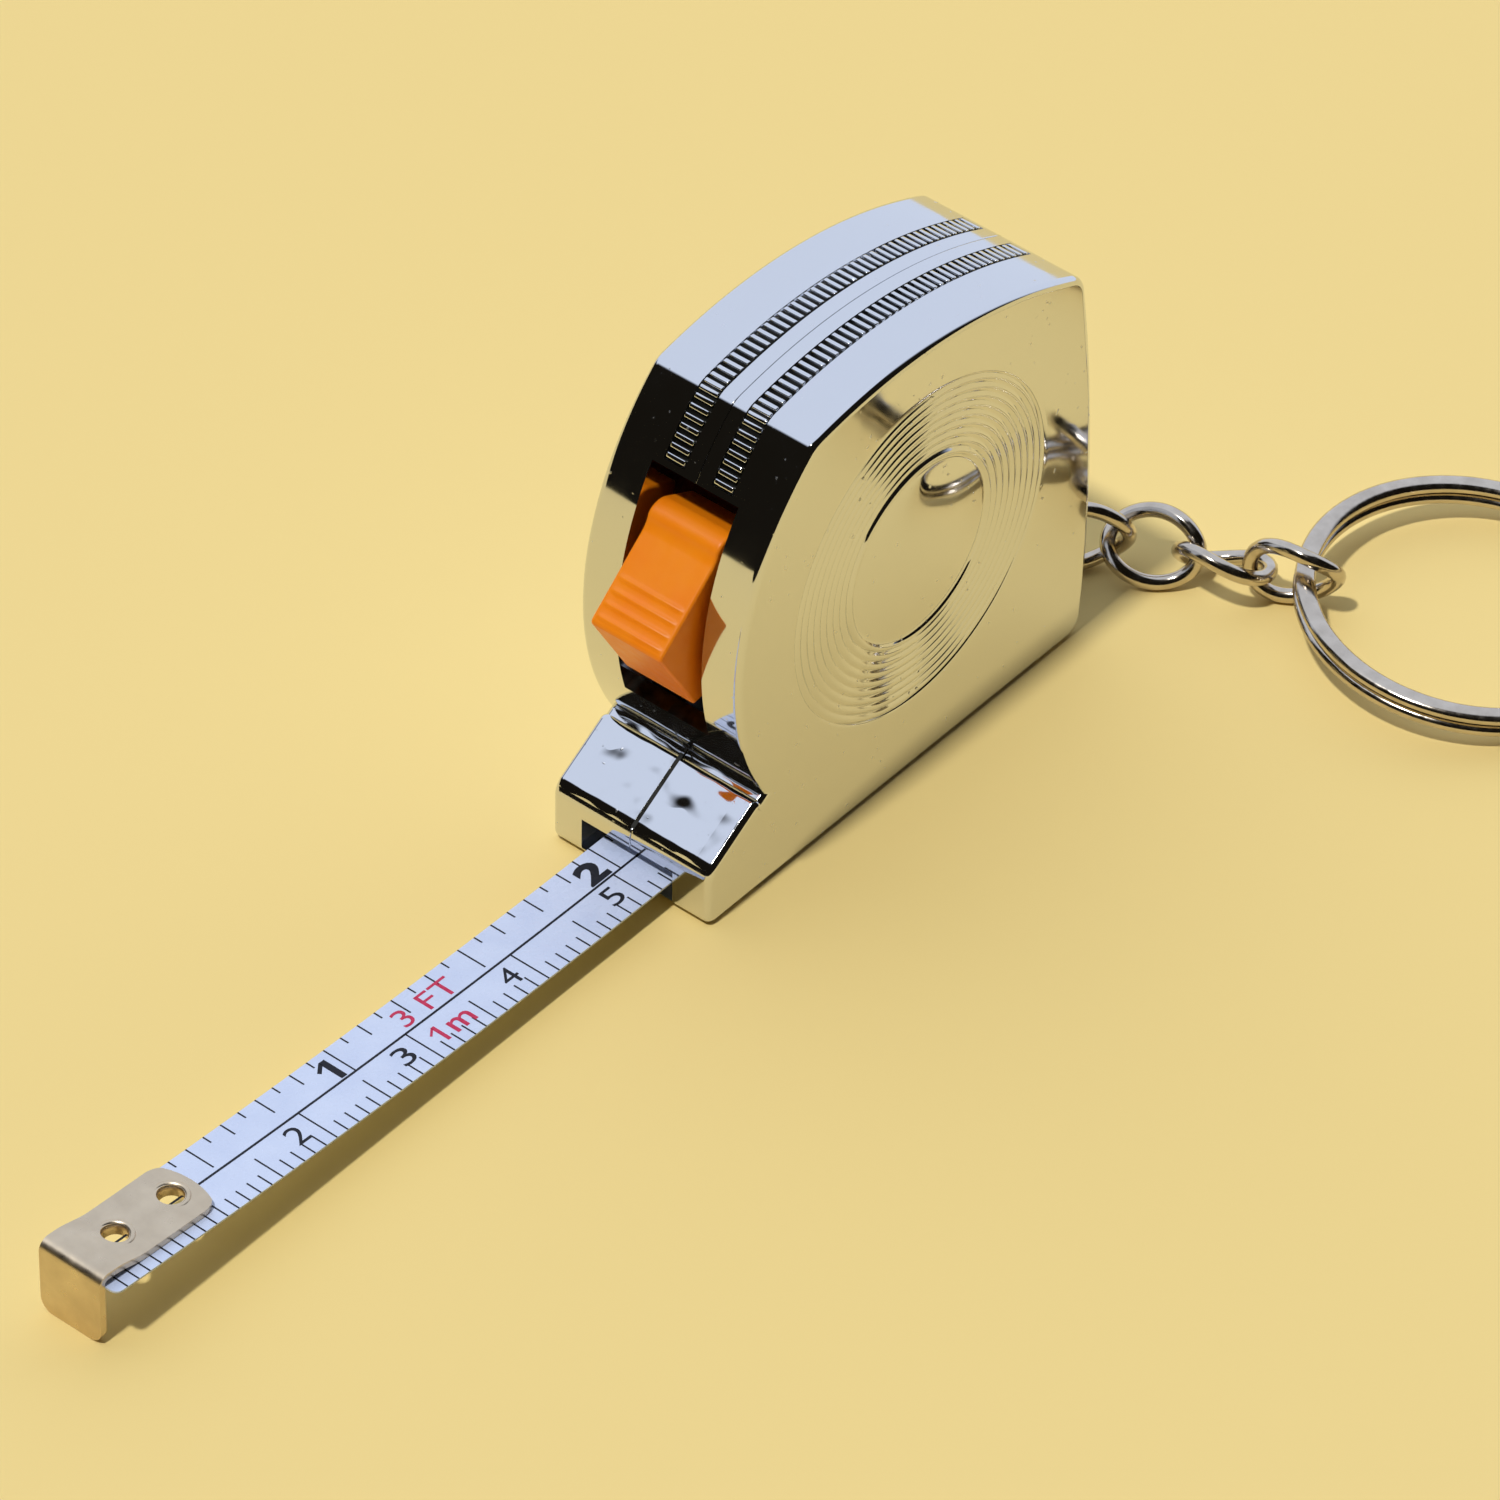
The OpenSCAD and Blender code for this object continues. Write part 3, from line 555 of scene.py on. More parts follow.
def gripRibs(side):
    bm = bmesh.new()
    size = Matrix.Diagonal((ribs["proud"] + ribs["sunk"] + ribs["root"], ribs["long"], ribs["thick"], 1))
    middle = (ribs["proud"] - ribs["sunk"] - ribs["root"]) / 2
    y = side * (ribs["y"] + ribs["long"] / 2)
    for c, radius, a0, a1 in (arc[:4] for arc in gripPath(0)):
        count = max(1, round(radius * (a1 - a0) / ribs["pitch"]))
        for i in range(count):
            a = a0 + (a1 - a0) * (i + 0.5) / count
            spot = Matrix.Translation((c[0], y, c[1])) @ Matrix.Rotation(-a, 4, "Y")
            out = Matrix.Translation((radius + middle, 0, 0))
            bmesh.ops.create_cube(bm, size=1, matrix=spot @ out @ size)
    roundOff(bm, bm.edges[:], ribs["edge"], 2)
    return newObject(bm, "gripRibsLeft" if side > 0 else "gripRibsRight", [chrome])


# the join of the two halves on the toe pad: a groove, with a bar of painted shade along its floor
seam = {"half": 0.15, "cut": 0.26, "floor": 0.05, "under": 0.1, "before": -0.3, "end": 0.35, "cutBefore": 1.0,
        "cutOver": 1.0, "cutPast": 0.5}


def seamBar(name, before, y0, y1, low, high, mats=()):
    # a bar along the toe pad's slope, between two depths under its face
    foot, slope = Vector((0, 0, case["toeFace"])), toeSlope()
    along = slope.normalized()
    out = Vector((-along.z, 0, along.x))
    start, end = foot - along * before, foot + slope - along * seam["end"]
    centre = (start + end) / 2 - out * (low + high) / 2 + Vector((0, (y0 + y1) / 2, 0))
    turn = Matrix((along, (0, 1, 0), out)).transposed().to_4x4()
    size = Matrix.Diagonal(((end - start).length, abs(y1 - y0), abs(high - low), 1))
    bm = bmesh.new()
    bmesh.ops.create_cube(bm, size=1, matrix=Matrix.Translation(centre) @ turn @ size)
    faceOut(bm)
    return newObject(bm, name, mats)


def onSill(face):
    x, y, z = face.center
    inside = sill["low"] < z < sill["high"] and abs(y) < sill["half"] and x < sill["back"]
    return inside and face.normal.z > sill["up"]


def makeShell(side):
    name, node = ("shellLeft", "case_left") if side > 0 else ("shellRight", "case_right")
    shell = roundedHalf(side)
    cut(shell, innerBlock(), "UNION")
    cut(shell, cadCopy(node), "INTERSECT")
    (x, z), low, high = case["axle"], case["half"] - rings["pocket"], case["half"] + rings["over"]
    bm = bmesh.new()
    turn = Matrix.Translation((x, side * (low + high) / 2, z)) @ Matrix.Rotation(math.pi / 2, 4, "X")
    addRod(bm, rings["recess"], high - low, rings["steps"], turn)
    cut(shell, newObject(bm, "pocket"))
    y0, y1 = side * (ribs["y"] - ribs["room"]), side * (ribs["y"] + ribs["long"] + ribs["room"])
    cut(shell, gripBand("channel", ribs["sunk"], -ribs["over"], y0, y1))
    cut(shell, seamBar("seamCut", seam["cutBefore"], -side * seam["cutPast"], side * seam["half"],
                       -seam["cutOver"], seam["cut"]))
    shell.name = name
    bm = bmesh.new()
    bm.from_mesh(shell.data)
    bmesh.ops.dissolve_limit(bm, angle_limit=math.radians(case["level"]), verts=bm.verts, edges=bm.edges)
    weld(bm)
    bmesh.ops.dissolve_degenerate(bm, edges=bm.edges, dist=weldGap)
    bm.to_mesh(shell.data)
    bm.free()
    # painted shade: the window's sill under the thumb piece takes the dark chrome where it lies in shade
    dress(shell, chrome, shadow)
    for face in shell.data.polygons:
        face.material_index = int(onSill(face))
    smooth(shell, case["sharp"])
    clean = roundedHalf(side)
    smooth(clean, case["halfSharp"])
    borrowNormals(shell, clean)
    place(shell, "case", [node], None)
    place(ringPlate(side), "case", (), 40)
    # painted shade: a dark strip along the channel's floor, between the ribs
    low, high = (ribs["sunk"] + over for over in ribs["floor"])
    y0, y1 = y0 + side * ribs["floorGap"], y1 - side * ribs["floorGap"]
    floor = gripBand("gripShadeLeft" if side > 0 else "gripShadeRight", low, high, y0, y1, [shadow])
    place(floor, "case", ())
    place(gripRibs(side), "case", (), 50)


for side in (-1, 1):
    makeShell(side)
# painted shade: a dark bar in the toe's groove, where the join lies in shade
toeJoinShade = seamBar("toeSeamShade", seam["before"], -seam["half"], seam["half"], seam["floor"],
                  seam["cut"] + seam["under"], [shadow])
place(toeJoinShade, "case", ())


# places on the thumb piece are (radius, degrees above level) about the middle of the case's front
slider = {"nose": (24.7, 6.3), "crest": (20.6, 21.0), "shoulder": (20.73, 23.9), "head": (19.8, 26.1),
          "root": 16.3, "foot": (21.3, -8.7), "half": 2.9, "flat": 2.25, "fade": 0.35,
          "ridges": 4, "pitch": 0.93, "phase": 0.35, "ridge": 0.15, "spread": 0.17,
          "from": 0.3, "step": 0.07, "steps": 60, "edge": 0.2, "hold": 0.03, "flankArea": 5.0,
          "noseSoft": 0.3, "crestSoft": 0.5, "softSteps": 6,
          "tongue": (15.5, 16.4), "tongueHalf": 4.3, "tongueAngles": (-51.6, 37.0), "tongueSteps": 44}


def frontAt(radius, degrees):
    a = math.radians(degrees)
    return Vector((case["front"][0] - radius * math.cos(a), 0, case["front"][1] + radius * math.sin(a)))


def thumbOutline():
    # (point, push of a ridge) round the thumb piece, from its nose up the ridged slope and back to its foot
    nose, crest = frontAt(*slider["nose"]), frontAt(*slider["crest"])
    slope = crest - nose
    out = Vector((-slope.z, 0, slope.x)).normalized()
    ridges = [slider["pitch"] * (k + 1 - slider["phase"]) for k in range(slider["ridges"])]
    points = [(nose, Vector())]
    for i in range(slider["steps"]):
        s = slider["from"] + slider["step"] * i
        push = sum(math.exp(-((s - at) / slider["spread"]) ** 2) for at in ridges)
        points.append((nose + slope.normalized() * s, out * slider["ridge"] * push))
    top, low = slider["head"][1], slider["foot"][1]
    rest = (slider["crest"], slider["shoulder"], slider["head"], (slider["root"], top), (slider["root"], low),
            slider["foot"])
    return points + [(frontAt(*spot), Vector()) for spot in rest]


def atFlank(face, y):
    return all(abs(v.co.y - y) < weldGap / 10 for v in face.verts)


def makeSlider():
    bm = bmesh.new()
    pushX, pushZ = bm.verts.layers.float.new("pushX"), bm.verts.layers.float.new("pushZ")
    outline = []
    for point, push in thumbOutline():
        vert = bm.verts.new(point + push + Vector((0, -slider["flat"], 0)))
        vert[pushX], vert[pushZ] = push.x, push.z
        outline.append(vert)
    bm.faces.new(outline)
    crestAt = slider["steps"] + 1
    roundOff(bm, [outline[0]], slider["noseSoft"], slider["softSteps"], "VERTICES")
    for vert in outline[crestAt:crestAt + 3]:  # crest, shoulder and head
        roundOff(bm, [vert], slider["crestSoft"], slider["softSteps"], "VERTICES")
    extrudeBy(bm, bm.faces[:], (0, 2 * slider["flat"], 0))
    for side in (-1, 1):
        # the ridges run out just before the flanks
        at = slider["flat"]
        for ends, grow in ((True, slider["fade"]), (False, slider["half"] - slider["flat"] - slider["fade"])):
            old = [f for f in bm.faces if atFlank(f, side * at)]
            moved = extrudeBy(bm, old, (0, side * grow, 0))
            bmesh.ops.delete(bm, geom=[f for f in old if f.is_valid], context="FACES_ONLY")
            if ends:
                for v in moved:
                    v.co -= Vector((v[pushX], 0, v[pushZ]))
            at += grow
    weld(bm, weldGap / 10)
    faceOut(bm)
    roundOff(bm, atY(bm, -slider["half"]) + atY(bm, slider["half"]), slider["edge"], 4)
    flanks = [f for f in bm.faces if abs(f.normal.y) > 0.999 and f.calc_area() > slider["flankArea"]]
    bmesh.ops.inset_individual(bm, faces=flanks, thickness=slider["hold"], depth=0)
    thumbFaces = set(bm.faces)
    # the curved tongue behind it, which runs in the case's rails
    (inner, outer), (low, high), width = slider["tongue"], slider["tongueAngles"], slider["tongueHalf"]
    ends = ((inner, -width), (outer, -width), (outer, width), (inner, width))
    start = bm.faces.new([bm.verts.new(frontAt(r, low) + Vector((0, y, 0))) for r, y in ends])
    bmesh.ops.spin(bm, geom=[start], cent=(case["front"][0], 0, case["front"][1]), axis=(0, 1, 0),
                   angle=math.radians(high - low), steps=slider["tongueSteps"])
    faceOut(bm)
    # painted shade: the tongue takes the darkened copy of the orange, the thumb piece the orange itself
    for f in bm.faces:
        f.material_index = 0 if f in thumbFaces else 1
    thumb = newObject(bm, "thumbSlider", [orange, tongueInShade])
    flatFaces(place(thumb, "slider", ["lock_slider"], 50))


makeSlider()

blade = {"y": -0.4, "width": 6.0, "thick": 0.14, "drawn": 51.8, "mouth": (1.0, 2.0), "endZ": 4.6,
         "climb": 14.84, "inside": 22.9, "corner": 0.55, "steps": 150, "bores": (-48.2, -43.2),
         "boreY": 0.05, "boreR": 1.03, "drillZ": 4, "drillLong": 6, "drillSides": 40,
         "bendFrom": 3.6, "bendTo": -41.0}


def bladeRise(x):
    x0, z0 = blade["mouth"]
    if x >= x0:
        return z0 + (x - x0) * math.tan(math.radians(blade["climb"]))
    return z0 + (blade["endZ"] - z0) * (max(-x, 0) / blade["drawn"]) ** 2


def lieOnBlade(verts, lift):
    for v in verts:
        v.co.z = bladeRise(v.co.x) + lift


def boreForRivets(sheet, radius, y, mat):
    # both rivet holes, down through the blade or the plate
    bm = bmesh.new()
    for x in blade["bores"]:
        spot = Matrix.Translation((x, y, blade["drillZ"]))
        addRod(bm, radius, blade["drillLong"], blade["drillSides"], spot)
    cut(sheet, newObject(bm, "bores"))
    dress(sheet, mat)


def makeBlade():
    bm = bmesh.new()
    length, half = blade["drawn"] + blade["inside"], blade["width"] / 2
    bmesh.ops.create_grid(bm, x_segments=blade["steps"], y_segments=2, size=0.5)
    bmesh.ops.scale(bm, vec=(length, blade["width"], 1), verts=bm.verts)
    bmesh.ops.translate(bm, vec=(length / 2 - blade["drawn"], blade["y"], 0), verts=bm.verts)
    near = weldGap * 100
    tips = [v for v in bm.verts if v.co.x < near - blade["drawn"] and abs(v.co.y - blade["y"]) > half - near]
    roundOff(bm, tips, blade["corner"], 4, "VERTICES")
    lieOnBlade(bm.verts, 0)
    extrudeBy(bm, bm.faces[:], (0, 0, blade["thick"]))
    faceOut(bm)
    strip = newObject(bm, "bladeStrip")
    boreForRivets(strip, blade["boreR"], blade["boreY"], enamel)
    return place(strip, None, ["blade_strip"])


# lengths of the ticks across the blade, by what they count; words are set by their height and base
# over the centre line or the lower edge, and by how far they end before their tick
marks = {"line": 0.25, "thin": 0.13, "centre": 0.17, "lift": 0.008, "from": -51.2, "to": 2.4, "steps": 100,
         "inch": 25.4,
         "inchTicks": ((8, 2.35), (4, 1.68), (2, 1.25), (1, 0.7)), "cmTicks": ((5, 2.36), (1, 1.2)),
         "inchFigure": {"before": 0.62, "base": 0.16, "high": 2.0, "stem": 0.52, "flag": 0.95, "wide": 1.95,
                        "bold": 0.045},
         "cmFigure": {"before": 0.95, "base": 1.14, "high": 1.62, "wide": 1.25},
         "feet": {"at": 30.5, "base": 0.28, "high": 1.6, "wide": 5.2},
         "metre": {"oneAt": 31.75, "at": 32.4, "base": -2.35, "oneHigh": 1.55, "stem": 0.3, "flag": 0.75,
                   "high": 1.15, "wide": 1.9, "bold": 0.012},
         "flagTurn": 38, "flagThick": 0.55, "flagX": 0.3, "flagY": 0.38, "flagDrop": 0.1}
blackInk, redInk = 0, 1


def addStroke(bm, middle, size, ink=blackInk, steps=1, turn=0):
    # a flat printed bar about its middle
    made = bmesh.ops.create_grid(bm, x_segments=steps, y_segments=1, size=0.5)["verts"]
    bmesh.ops.scale(bm, vec=(*size, 1), verts=made)
    bmesh.ops.rotate(bm, cent=(0, 0, 0), matrix=Matrix.Rotation(math.radians(turn), 3, "Z"), verts=made)
    bmesh.ops.translate(bm, vec=(*middle, 0), verts=made)
    for f in {f for v in made for f in v.link_faces}:
        f.material_index = ink


def addWords(bm, words, left, base, high, wide, bold=0.0, ink=blackInk):
    # words along the blade, set by their left end, their base line, their height and their width
    curve = bpy.data.curves.new("words", "FONT")
    curve.body, curve.offset, curve.resolution_u = words, bold, 4
    curve.fill_mode = "FRONT"
    old = set(bm.verts)
    bm.from_mesh(curveMesh(curve))
    new = [v for v in bm.verts if v not in old]
    xs, ys = [v.co.x for v in new], [v.co.y for v in new]
    across, up = wide / (max(xs) - min(xs)), high / (max(ys) - min(ys))
    for v in new:
        v.co = Vector((left + (v.co.x - min(xs)) * across, base + (v.co.y - min(ys)) * up, 0))
    for f in {f for v in new for f in v.link_faces}:
        f.material_index = ink
        if f.normal.z < 0:
            f.normal_flip()


def addOne(bm, right, base, high, stem, flag, ink=blackInk):
    # a figure one: its stem and the flag that slants down from its top
    addStroke(bm, (right - stem / 2, base + high / 2), (stem, high), ink)
    x = right - stem - flag * marks["flagX"]
    y = base + high - flag * marks["flagY"] - stem * marks["flagDrop"]
    addStroke(bm, (x, y), (flag, stem * marks["flagThick"]), ink, turn=marks["flagTurn"])


def addTicks(bm, pitch, perFigure, ticks, edge, inwards, centre):
    # the longest mark that fits each count, and one up to the centre line at every figure
    for i in range(1, math.ceil((marks["to"] + blade["drawn"]) / pitch)):
        x = pitch * i - blade["drawn"]
        long = next(size for count, size in ticks if i % count == 0)
        end = edge + inwards * long if i % perFigure else centre
        addStroke(bm, (x, (edge + end) / 2), (marks["thin"], abs(end - edge)))


def makeMarks():
    bm = bmesh.new()
    low, high = blade["y"] - blade["width"] / 2, blade["y"] + blade["width"] / 2
    centre, zero, inch = blade["y"] + marks["line"], -blade["drawn"], marks["inch"]
    addTicks(bm, inch / 16, 16, marks["inchTicks"], high, -1, centre)
    addTicks(bm, 1, 10, marks["cmTicks"], low, 1, centre)
    x0, x1 = marks["from"], marks["to"]
    addStroke(bm, ((x0 + x1) / 2, centre), (x1 - x0, marks["centre"]), steps=marks["steps"])
    fig = marks["inchFigure"]
    addOne(bm, zero + inch - fig["before"], centre + fig["base"], fig["high"], fig["stem"], fig["flag"])
    addWords(bm, "2", zero + 2 * inch - fig["before"] - fig["wide"], centre + fig["base"], fig["high"],
             fig["wide"], fig["bold"])
    fig = marks["cmFigure"]
    for i in (2, 3, 4, 5):
        left = zero + 10 * i - fig["before"] - fig["wide"]
        addWords(bm, str(i), left, low + fig["base"], fig["high"], fig["wide"])
    fig = marks["feet"]
    addWords(bm, "3 FT", zero + fig["at"], centre + fig["base"], fig["high"], fig["wide"], ink=redInk)
    fig = marks["metre"]
    addOne(bm, zero + fig["oneAt"], centre + fig["base"], fig["oneHigh"], fig["stem"], fig["flag"], redInk)
    addWords(bm, "m", zero + fig["at"], centre + fig["base"], fig["high"], fig["wide"], fig["bold"], redInk)
    lieOnBlade(bm.verts, blade["thick"] + marks["lift"])
    return place(newObject(bm, "bladeMarks", [black, red]), None, ())


for piece in (makeBlade(), makeMarks()):
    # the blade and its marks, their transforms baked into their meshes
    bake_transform(piece)

hook = {"width": 5.0, "faceX": -52.05, "footZ": 0.02, "thick": 0.5, "bend": 0.55, "length": 11.0, "y": 0.05,
        "gap": 0.02, "lift": 0.4, "stepFrom": -50.9, "stepTo": -47.9, "corner": 1.0, "endRadius": 5.0,
        "endCorner": 0.9, "edge": 0.13, "steps": 40, "bendSteps": 8, "endSteps": 10}
# each rivet's profile is (radius over the bore, height over the plate or under the blade)
rivet = {"bore": 0.8, "room": 0.1, "steps": 40,
         "top": ((0, -0.45), (0.03, -0.25), (0.09, -0.1), (0.18, 0), (0.28, 0.05), (0.38, 0.045), (0.45, 0),
                 (0.46, -0.05), (0.12, -0.06)),
         "low": ((0.12, -0.02), (0.46, -0.05), (0.46, -0.2), (0, -0.2), (0, 0.05))}


def plateZ(x):
    # middle of the plate's sheet, a step above the blade next to the bend
    t = min(max((hook["stepTo"] - x) / (hook["stepTo"] - hook["stepFrom"]), 0), 1)
    over = blade["thick"] + hook["thick"] / 2 + hook["gap"]
    return bladeRise(x) + over + hook["lift"] * t * t * (3 - 2 * t)


def hookPath():
    # the sheet's middle line in X and Z, from the lower edge of the face, round the bend and along the plate
    x0, r, steps, bendSteps = (hook[k] for k in ("faceX", "bend", "steps", "bendSteps"))
    top = plateZ(x0 + r) - r
    path = [Vector((x0, hook["footZ"])), Vector((x0, top))]
    for k in range(1, bendSteps + 1):
        a = math.pi / 2 / bendSteps * k
        path.append(Vector((x0 + r - r * math.cos(a), top + r * math.sin(a))))
    run = hook["length"] - hook["thick"] / 2 - r
    for k in range(1, steps + 1):
        x = x0 + r + run * k / steps
        path.append(Vector((x, plateZ(x))))
    return path


def bendAlong(bm, path, along):
    # lays a flat sheet, drawn along X, along the path
    for s in along[1:-1]:
        everything = bm.verts[:] + bm.edges[:] + bm.faces[:]
        bmesh.ops.bisect_plane(bm, geom=everything, plane_co=(s, 0, 0), plane_no=(1, 0, 0))
    for v in bm.verts:
        i = max(k for k in range(len(along) - 1) if along[k] <= v.co.x + 1e-6)
        t = min((v.co.x - along[i]) / (along[i + 1] - along[i]), 1)
        spot = path[i].lerp(path[i + 1], t)
        v.co = Vector((spot.x, v.co.y, spot.y))


def makeHook():
    path = hookPath()
    along = [0.0]
    for a, b in zip(path, path[1:]):
        along.append(along[-1] + (b - a).length)
    total, half, bow, steps = along[-1], hook["width"] / 2, hook["endRadius"], hook["endSteps"]
    across = [half * (2 * k / steps - 1) for k in range(steps + 1)]
    arc = [(total - (bow - math.sqrt(bow * bow - y * y)), y) for y in across]
    bm = bmesh.new()
    flat = [bm.verts.new((s, y, 0)) for s, y in [(0, -half)] + arc + [(0, half)]]
    bm.faces.new(flat)
    roundOff(bm, [flat[0], flat[-1]], hook["corner"], 6, "VERTICES")
    tips = [v for v in bm.verts if abs(abs(v.co.y) - half) < weldGap / 10 and v.co.x > total - 1]
    roundOff(bm, tips, hook["endCorner"], 6, "VERTICES")
    bendAlong(bm, path, along)
    bmesh.ops.translate(bm, vec=(0, hook["y"], 0), verts=bm.verts)
    faceOut(bm)
    if next(f for f in bm.faces if abs(f.normal.z) > 0.9).normal.z < 0:
        bmesh.ops.reverse_faces(bm, faces=bm.faces)
    sheet = newObject(bm, "hookPlate")
    solid = sheet.modifiers.new("sheet", "SOLIDIFY")
    solid.thickness, solid.offset, solid.use_even_offset = hook["thick"], 0, True
    soft = sheet.modifiers.new("edges", "BEVEL")
    soft.width, soft.segments = hook["edge"], 3
    soft.limit_method, soft.angle_limit = "ANGLE", math.radians(50)
    mesh = finalMesh(sheet)
    sheet.modifiers.clear()
    sheet.data = mesh
    boreForRivets(sheet, rivet["bore"] + rivet["room"], hook["y"], hookSteel)
    flatFaces(place(sheet, "blade_end", ["hook"], 40))


def makeEyelet(i):
    # a hollow rivet, its rim rolled over the plate and under the blade
    x, y = blade["bores"][i], hook["y"]
    top, low = plateZ(x) + hook["thick"] / 2, bladeRise(x)
    profile = [(r, top + h) for r, h in rivet["top"]] + [(r, low + h) for r, h in rivet["low"]]
    points = [(x + rivet["bore"] + r, y, z) for r, z in profile]
    bm = turnRound(points, (x, y, 0), (0, 0, 1), rivet["steps"])
    eyelet = newObject(bm, "eyelet%d" % (i + 1), [hookSteel])
    place(eyelet, "blade_end", ["hook_rivet_%d" % (i + 1)], 45)


makeHook()
for i in range(len(blade["bores"])):
    makeEyelet(i)

# turns are each link's (heading, roll), heights those of the hinges from the peg to the ring
chain = {"wire": 1.1, "play": 0.02, "length": 7.3, "width": 5.9, "twist": 42, "gap": 0.25, "peg": 0.7,
         "pegX": 37.3, "slack": 1.0, "steps": 72, "sides": 5, "heights": [4.6, 3.6, 2.5, 2.45, 2.3, 3.25],
         "turns": [(-25, 135), (-37, 92), (-66, 50), (-67, -34), (-73, 103)]}
ring = {"outer": 24.0, "wide": 1.4, "high": 0.95, "turn": -59, "ramp": 24, "start": 6, "round": 0.92,
        "play": 0.03, "lift": 0.05, "rampSteps": 12, "steps": 90, "sides": 24}


def linkFrames():
    # the place and turn of each link, hinge by hinge from the peg, and the last hinge
    wire, gap, last = chain["wire"], chain["gap"], len(chain["turns"]) - 1
    a = (chain["length"] - wire) / 2
    step = a - (wire + gap) / 2
    spot = Vector((chain["pegX"], 0, chain["heights"][0]))
    placed = []
    for i, (heading, roll) in enumerate(chain["turns"]):
        near = a - wire / 2 - chain["peg"] - gap if i == 0 else step
        far = a - wire / 2 - chain["slack"] - ring["wide"] / 2 if i == last else step
        dip = math.asin((chain["heights"][i] - chain["heights"][i + 1]) / (near + far))
        turn = Matrix.Rotation(math.radians(heading), 4, "Z") @ Matrix.Rotation(dip, 4, "Y")
        ahead = turn.to_3x3() @ Vector((1, 0, 0))
        placed.append((Matrix.Translation(spot + ahead * near) @ turn, roll))
        spot = spot + ahead * (near + far)
    return placed, spot


def makeLink(i, frameOf, roll):
    # round wire bent to an oval and twisted end to end, so that the chain lies flat
    a, b = (chain["length"] - chain["wire"]) / 2, (chain["width"] - chain["wire"]) / 2
    curve = bpy.data.curves.new("link", "CURVE")
    curve.dimensions, curve.bevel_resolution = "3D", chain["sides"]
    curve.bevel_depth = chain["wire"] / 2 - chain["play"]
    line = curve.splines.new("POLY")
    line.points.add(chain["steps"] - 1)
    for k, point in enumerate(line.points):
        t = 2 * math.pi * k / chain["steps"]
        f = math.radians(roll + chain["twist"] / 2 * math.cos(t))
        spot = Vector((a * math.cos(t), b * math.sin(t) * math.cos(f), b * math.sin(t) * math.sin(f)))
        point.co = (*(frameOf @ spot), 1)
    line.use_cyclic_u = True
    bm = bmesh.new()
    bm.from_mesh(curveMesh(curve))
    weld(bm)
    faceOut(bm)
    link = newObject(bm, "wireLink%d" % (i + 1), [wireSteel])
    place(link, "link_%d" % (i + 1), ["chain_link_%d" % (i + 1)], 60)


def ringSection(bm):
    # the wire's face, rounded outside and flatter where the turns touch
    made = bmesh.ops.create_circle(bm, cap_ends=True, segments=ring["sides"], radius=1)["verts"]
    wide, high = ring["wide"] / 2, (ring["high"] - ring["play"]) / 2
    for v in made:
        c, s = v.co.x, v.co.y
        v.co = Vector((math.copysign(abs(c) ** ring["round"], c) * wide, 0,
                       math.copysign(abs(s) ** ring["round"], s) * high))
    return made


def makeSplitRing(hinge):
    # two close turns of wire that change level over a short ramp
    bm = bmesh.new()
    radius, high = (ring["outer"] - ring["wide"]) / 2, ring["high"]
    tilt = math.asin((chain["heights"][-1] - high - ring["lift"]) / (2 * radius))
    start, ramp = math.radians(ring["start"]), math.radians(ring["ramp"])
    made = ringSection(bm)
    bmesh.ops.translate(bm, vec=(radius, 0, -high / 2), verts=made)
    bmesh.ops.rotate(bm, cent=(0, 0, 0), matrix=Matrix.Rotation(start, 3, "Z"), verts=made)
    level = (2 * math.pi - start - ramp / 2, ring["steps"], 0)
    geom, joins = bm.faces[:], []
    for angle, steps, rise in (level, (ramp, ring["rampSteps"], high / ring["rampSteps"]), level):
        last = bmesh.ops.spin(bm, geom=geom, cent=(0, 0, 0), axis=(0, 0, 1), dvec=(0, 0, rise), angle=angle,
                              steps=steps)
        geom = [g for g in last["geom_last"] if isinstance(g, bmesh.types.BMFace)]
        joins += geom
    bmesh.ops.delete(bm, geom=[f for f in joins[:-1] if f.is_valid], context="FACES_ONLY")
    weld(bm)
    faceOut(bm)
    turn = Matrix.Rotation(math.radians(ring["turn"]), 4, "Z") @ Matrix.Rotation(tilt, 4, "Y")
    spot = Matrix.Translation(hinge) @ turn @ Matrix.Translation((radius, 0, 0))
    bmesh.ops.transform(bm, matrix=spot, verts=bm.verts)
    place(newObject(bm, "splitRing", [wireSteel]), "ring", ["key_ring"], 50)


frames, lastHinge = linkFrames()
for i, (frameOf, roll) in enumerate(frames):
    makeLink(i, frameOf, roll)
makeSplitRing(lastHinge)

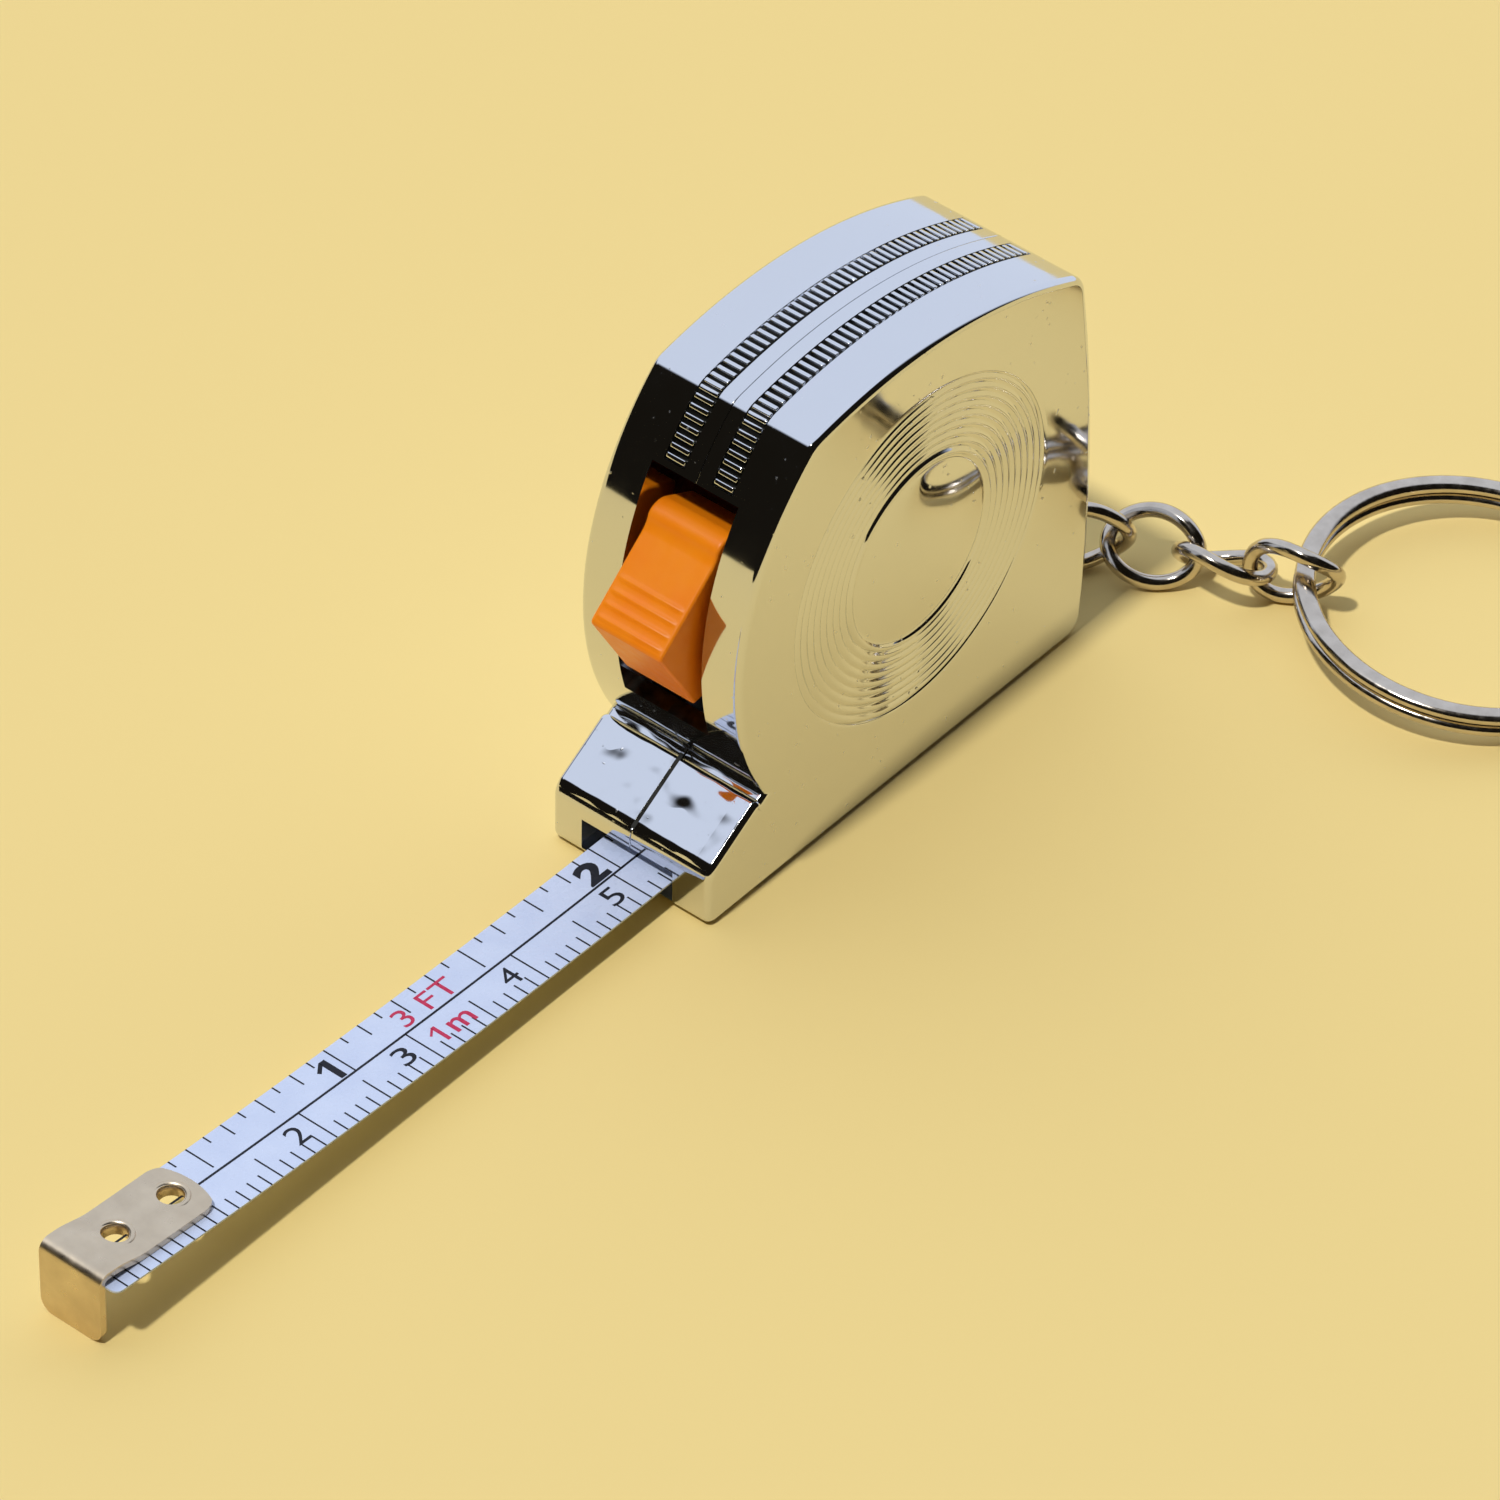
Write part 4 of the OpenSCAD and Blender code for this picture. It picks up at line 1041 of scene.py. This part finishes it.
# a matte paper floor and one soft sun, in a dim room with two broad pale windows; each window is
# its direction and the cosines at which it starts and is whole
studio = {"floor": "F7DB8E", "floorRough": 0.9, "floorHalf": 3, "bright": "D9E2F4", "dark": "17140F",
          "level": 1.12, "sun": 1.9, "sunAngle": 4, "sunFrom": (-0.39, 0.02, 0.92),
          "windows": (((0.25, 0.5, 0.83), 0.7, 0.79), ((0.88, 0.47, 0.1), 0.42, 0.6))}


def makeFloor():
    bm = bmesh.new()
    bmesh.ops.create_grid(bm, x_segments=1, y_segments=1, size=studio["floorHalf"])
    mat, tree = newMaterial("mattePaperFloor")[:2]
    finishMaterial(tree, {"Base Color": colour(studio["floor"]), "Roughness": studio["floorRough"]})
    newObject(bm, "floor", [mat])


def makeLights():
    # the bright metal picks the windows and the dim room up as light and dark bands
    world = bpy.data.worlds.new("studio")
    bpy.context.scene.world = world
    world.use_nodes = True
    tree = world.node_tree
    coords = addNode(tree, "ShaderNodeTexCoord")
    openings = []
    for towards, low, high in studio["windows"]:
        aim = {"operation": "DOT_PRODUCT", 1: Vector(towards).normalized()}
        facing = addNode(tree, "ShaderNodeVectorMath", aim, {0: (coords, "Generated")})
        edge = {"From Min": low, "From Max": high, "interpolation_type": "SMOOTHSTEP"}
        openings.append((addNode(tree, "ShaderNodeMapRange", edge, {"Value": (facing, "Value")}), "Result"))
    either = addNode(tree, "ShaderNodeMath", {"operation": "MAXIMUM"}, dict(enumerate(openings)))
    tones = {"data_type": "RGBA", 6: colour(studio["dark"]), 7: colour(studio["bright"])}
    mix = addNode(tree, "ShaderNodeMix", tones, {"Factor": (either, "Value")})
    back = tree.nodes["Background"]
    back.inputs["Strength"].default_value = studio["level"]
    tree.links.new(mix.outputs[2], back.inputs["Color"])
    sun = bpy.data.lights.new("key", "SUN")
    sun.energy, sun.angle = studio["sun"], math.radians(studio["sunAngle"])
    lamp = bpy.data.objects.new("key", sun)
    bpy.context.collection.objects.link(lamp)
    lamp.rotation_euler = Vector(studio["sunFrom"]).to_track_quat("Z", "Y").to_euler()


makeFloor()
makeLights()
print("studio ready")
bpy.context.scene.view_settings.view_transform = "Standard"
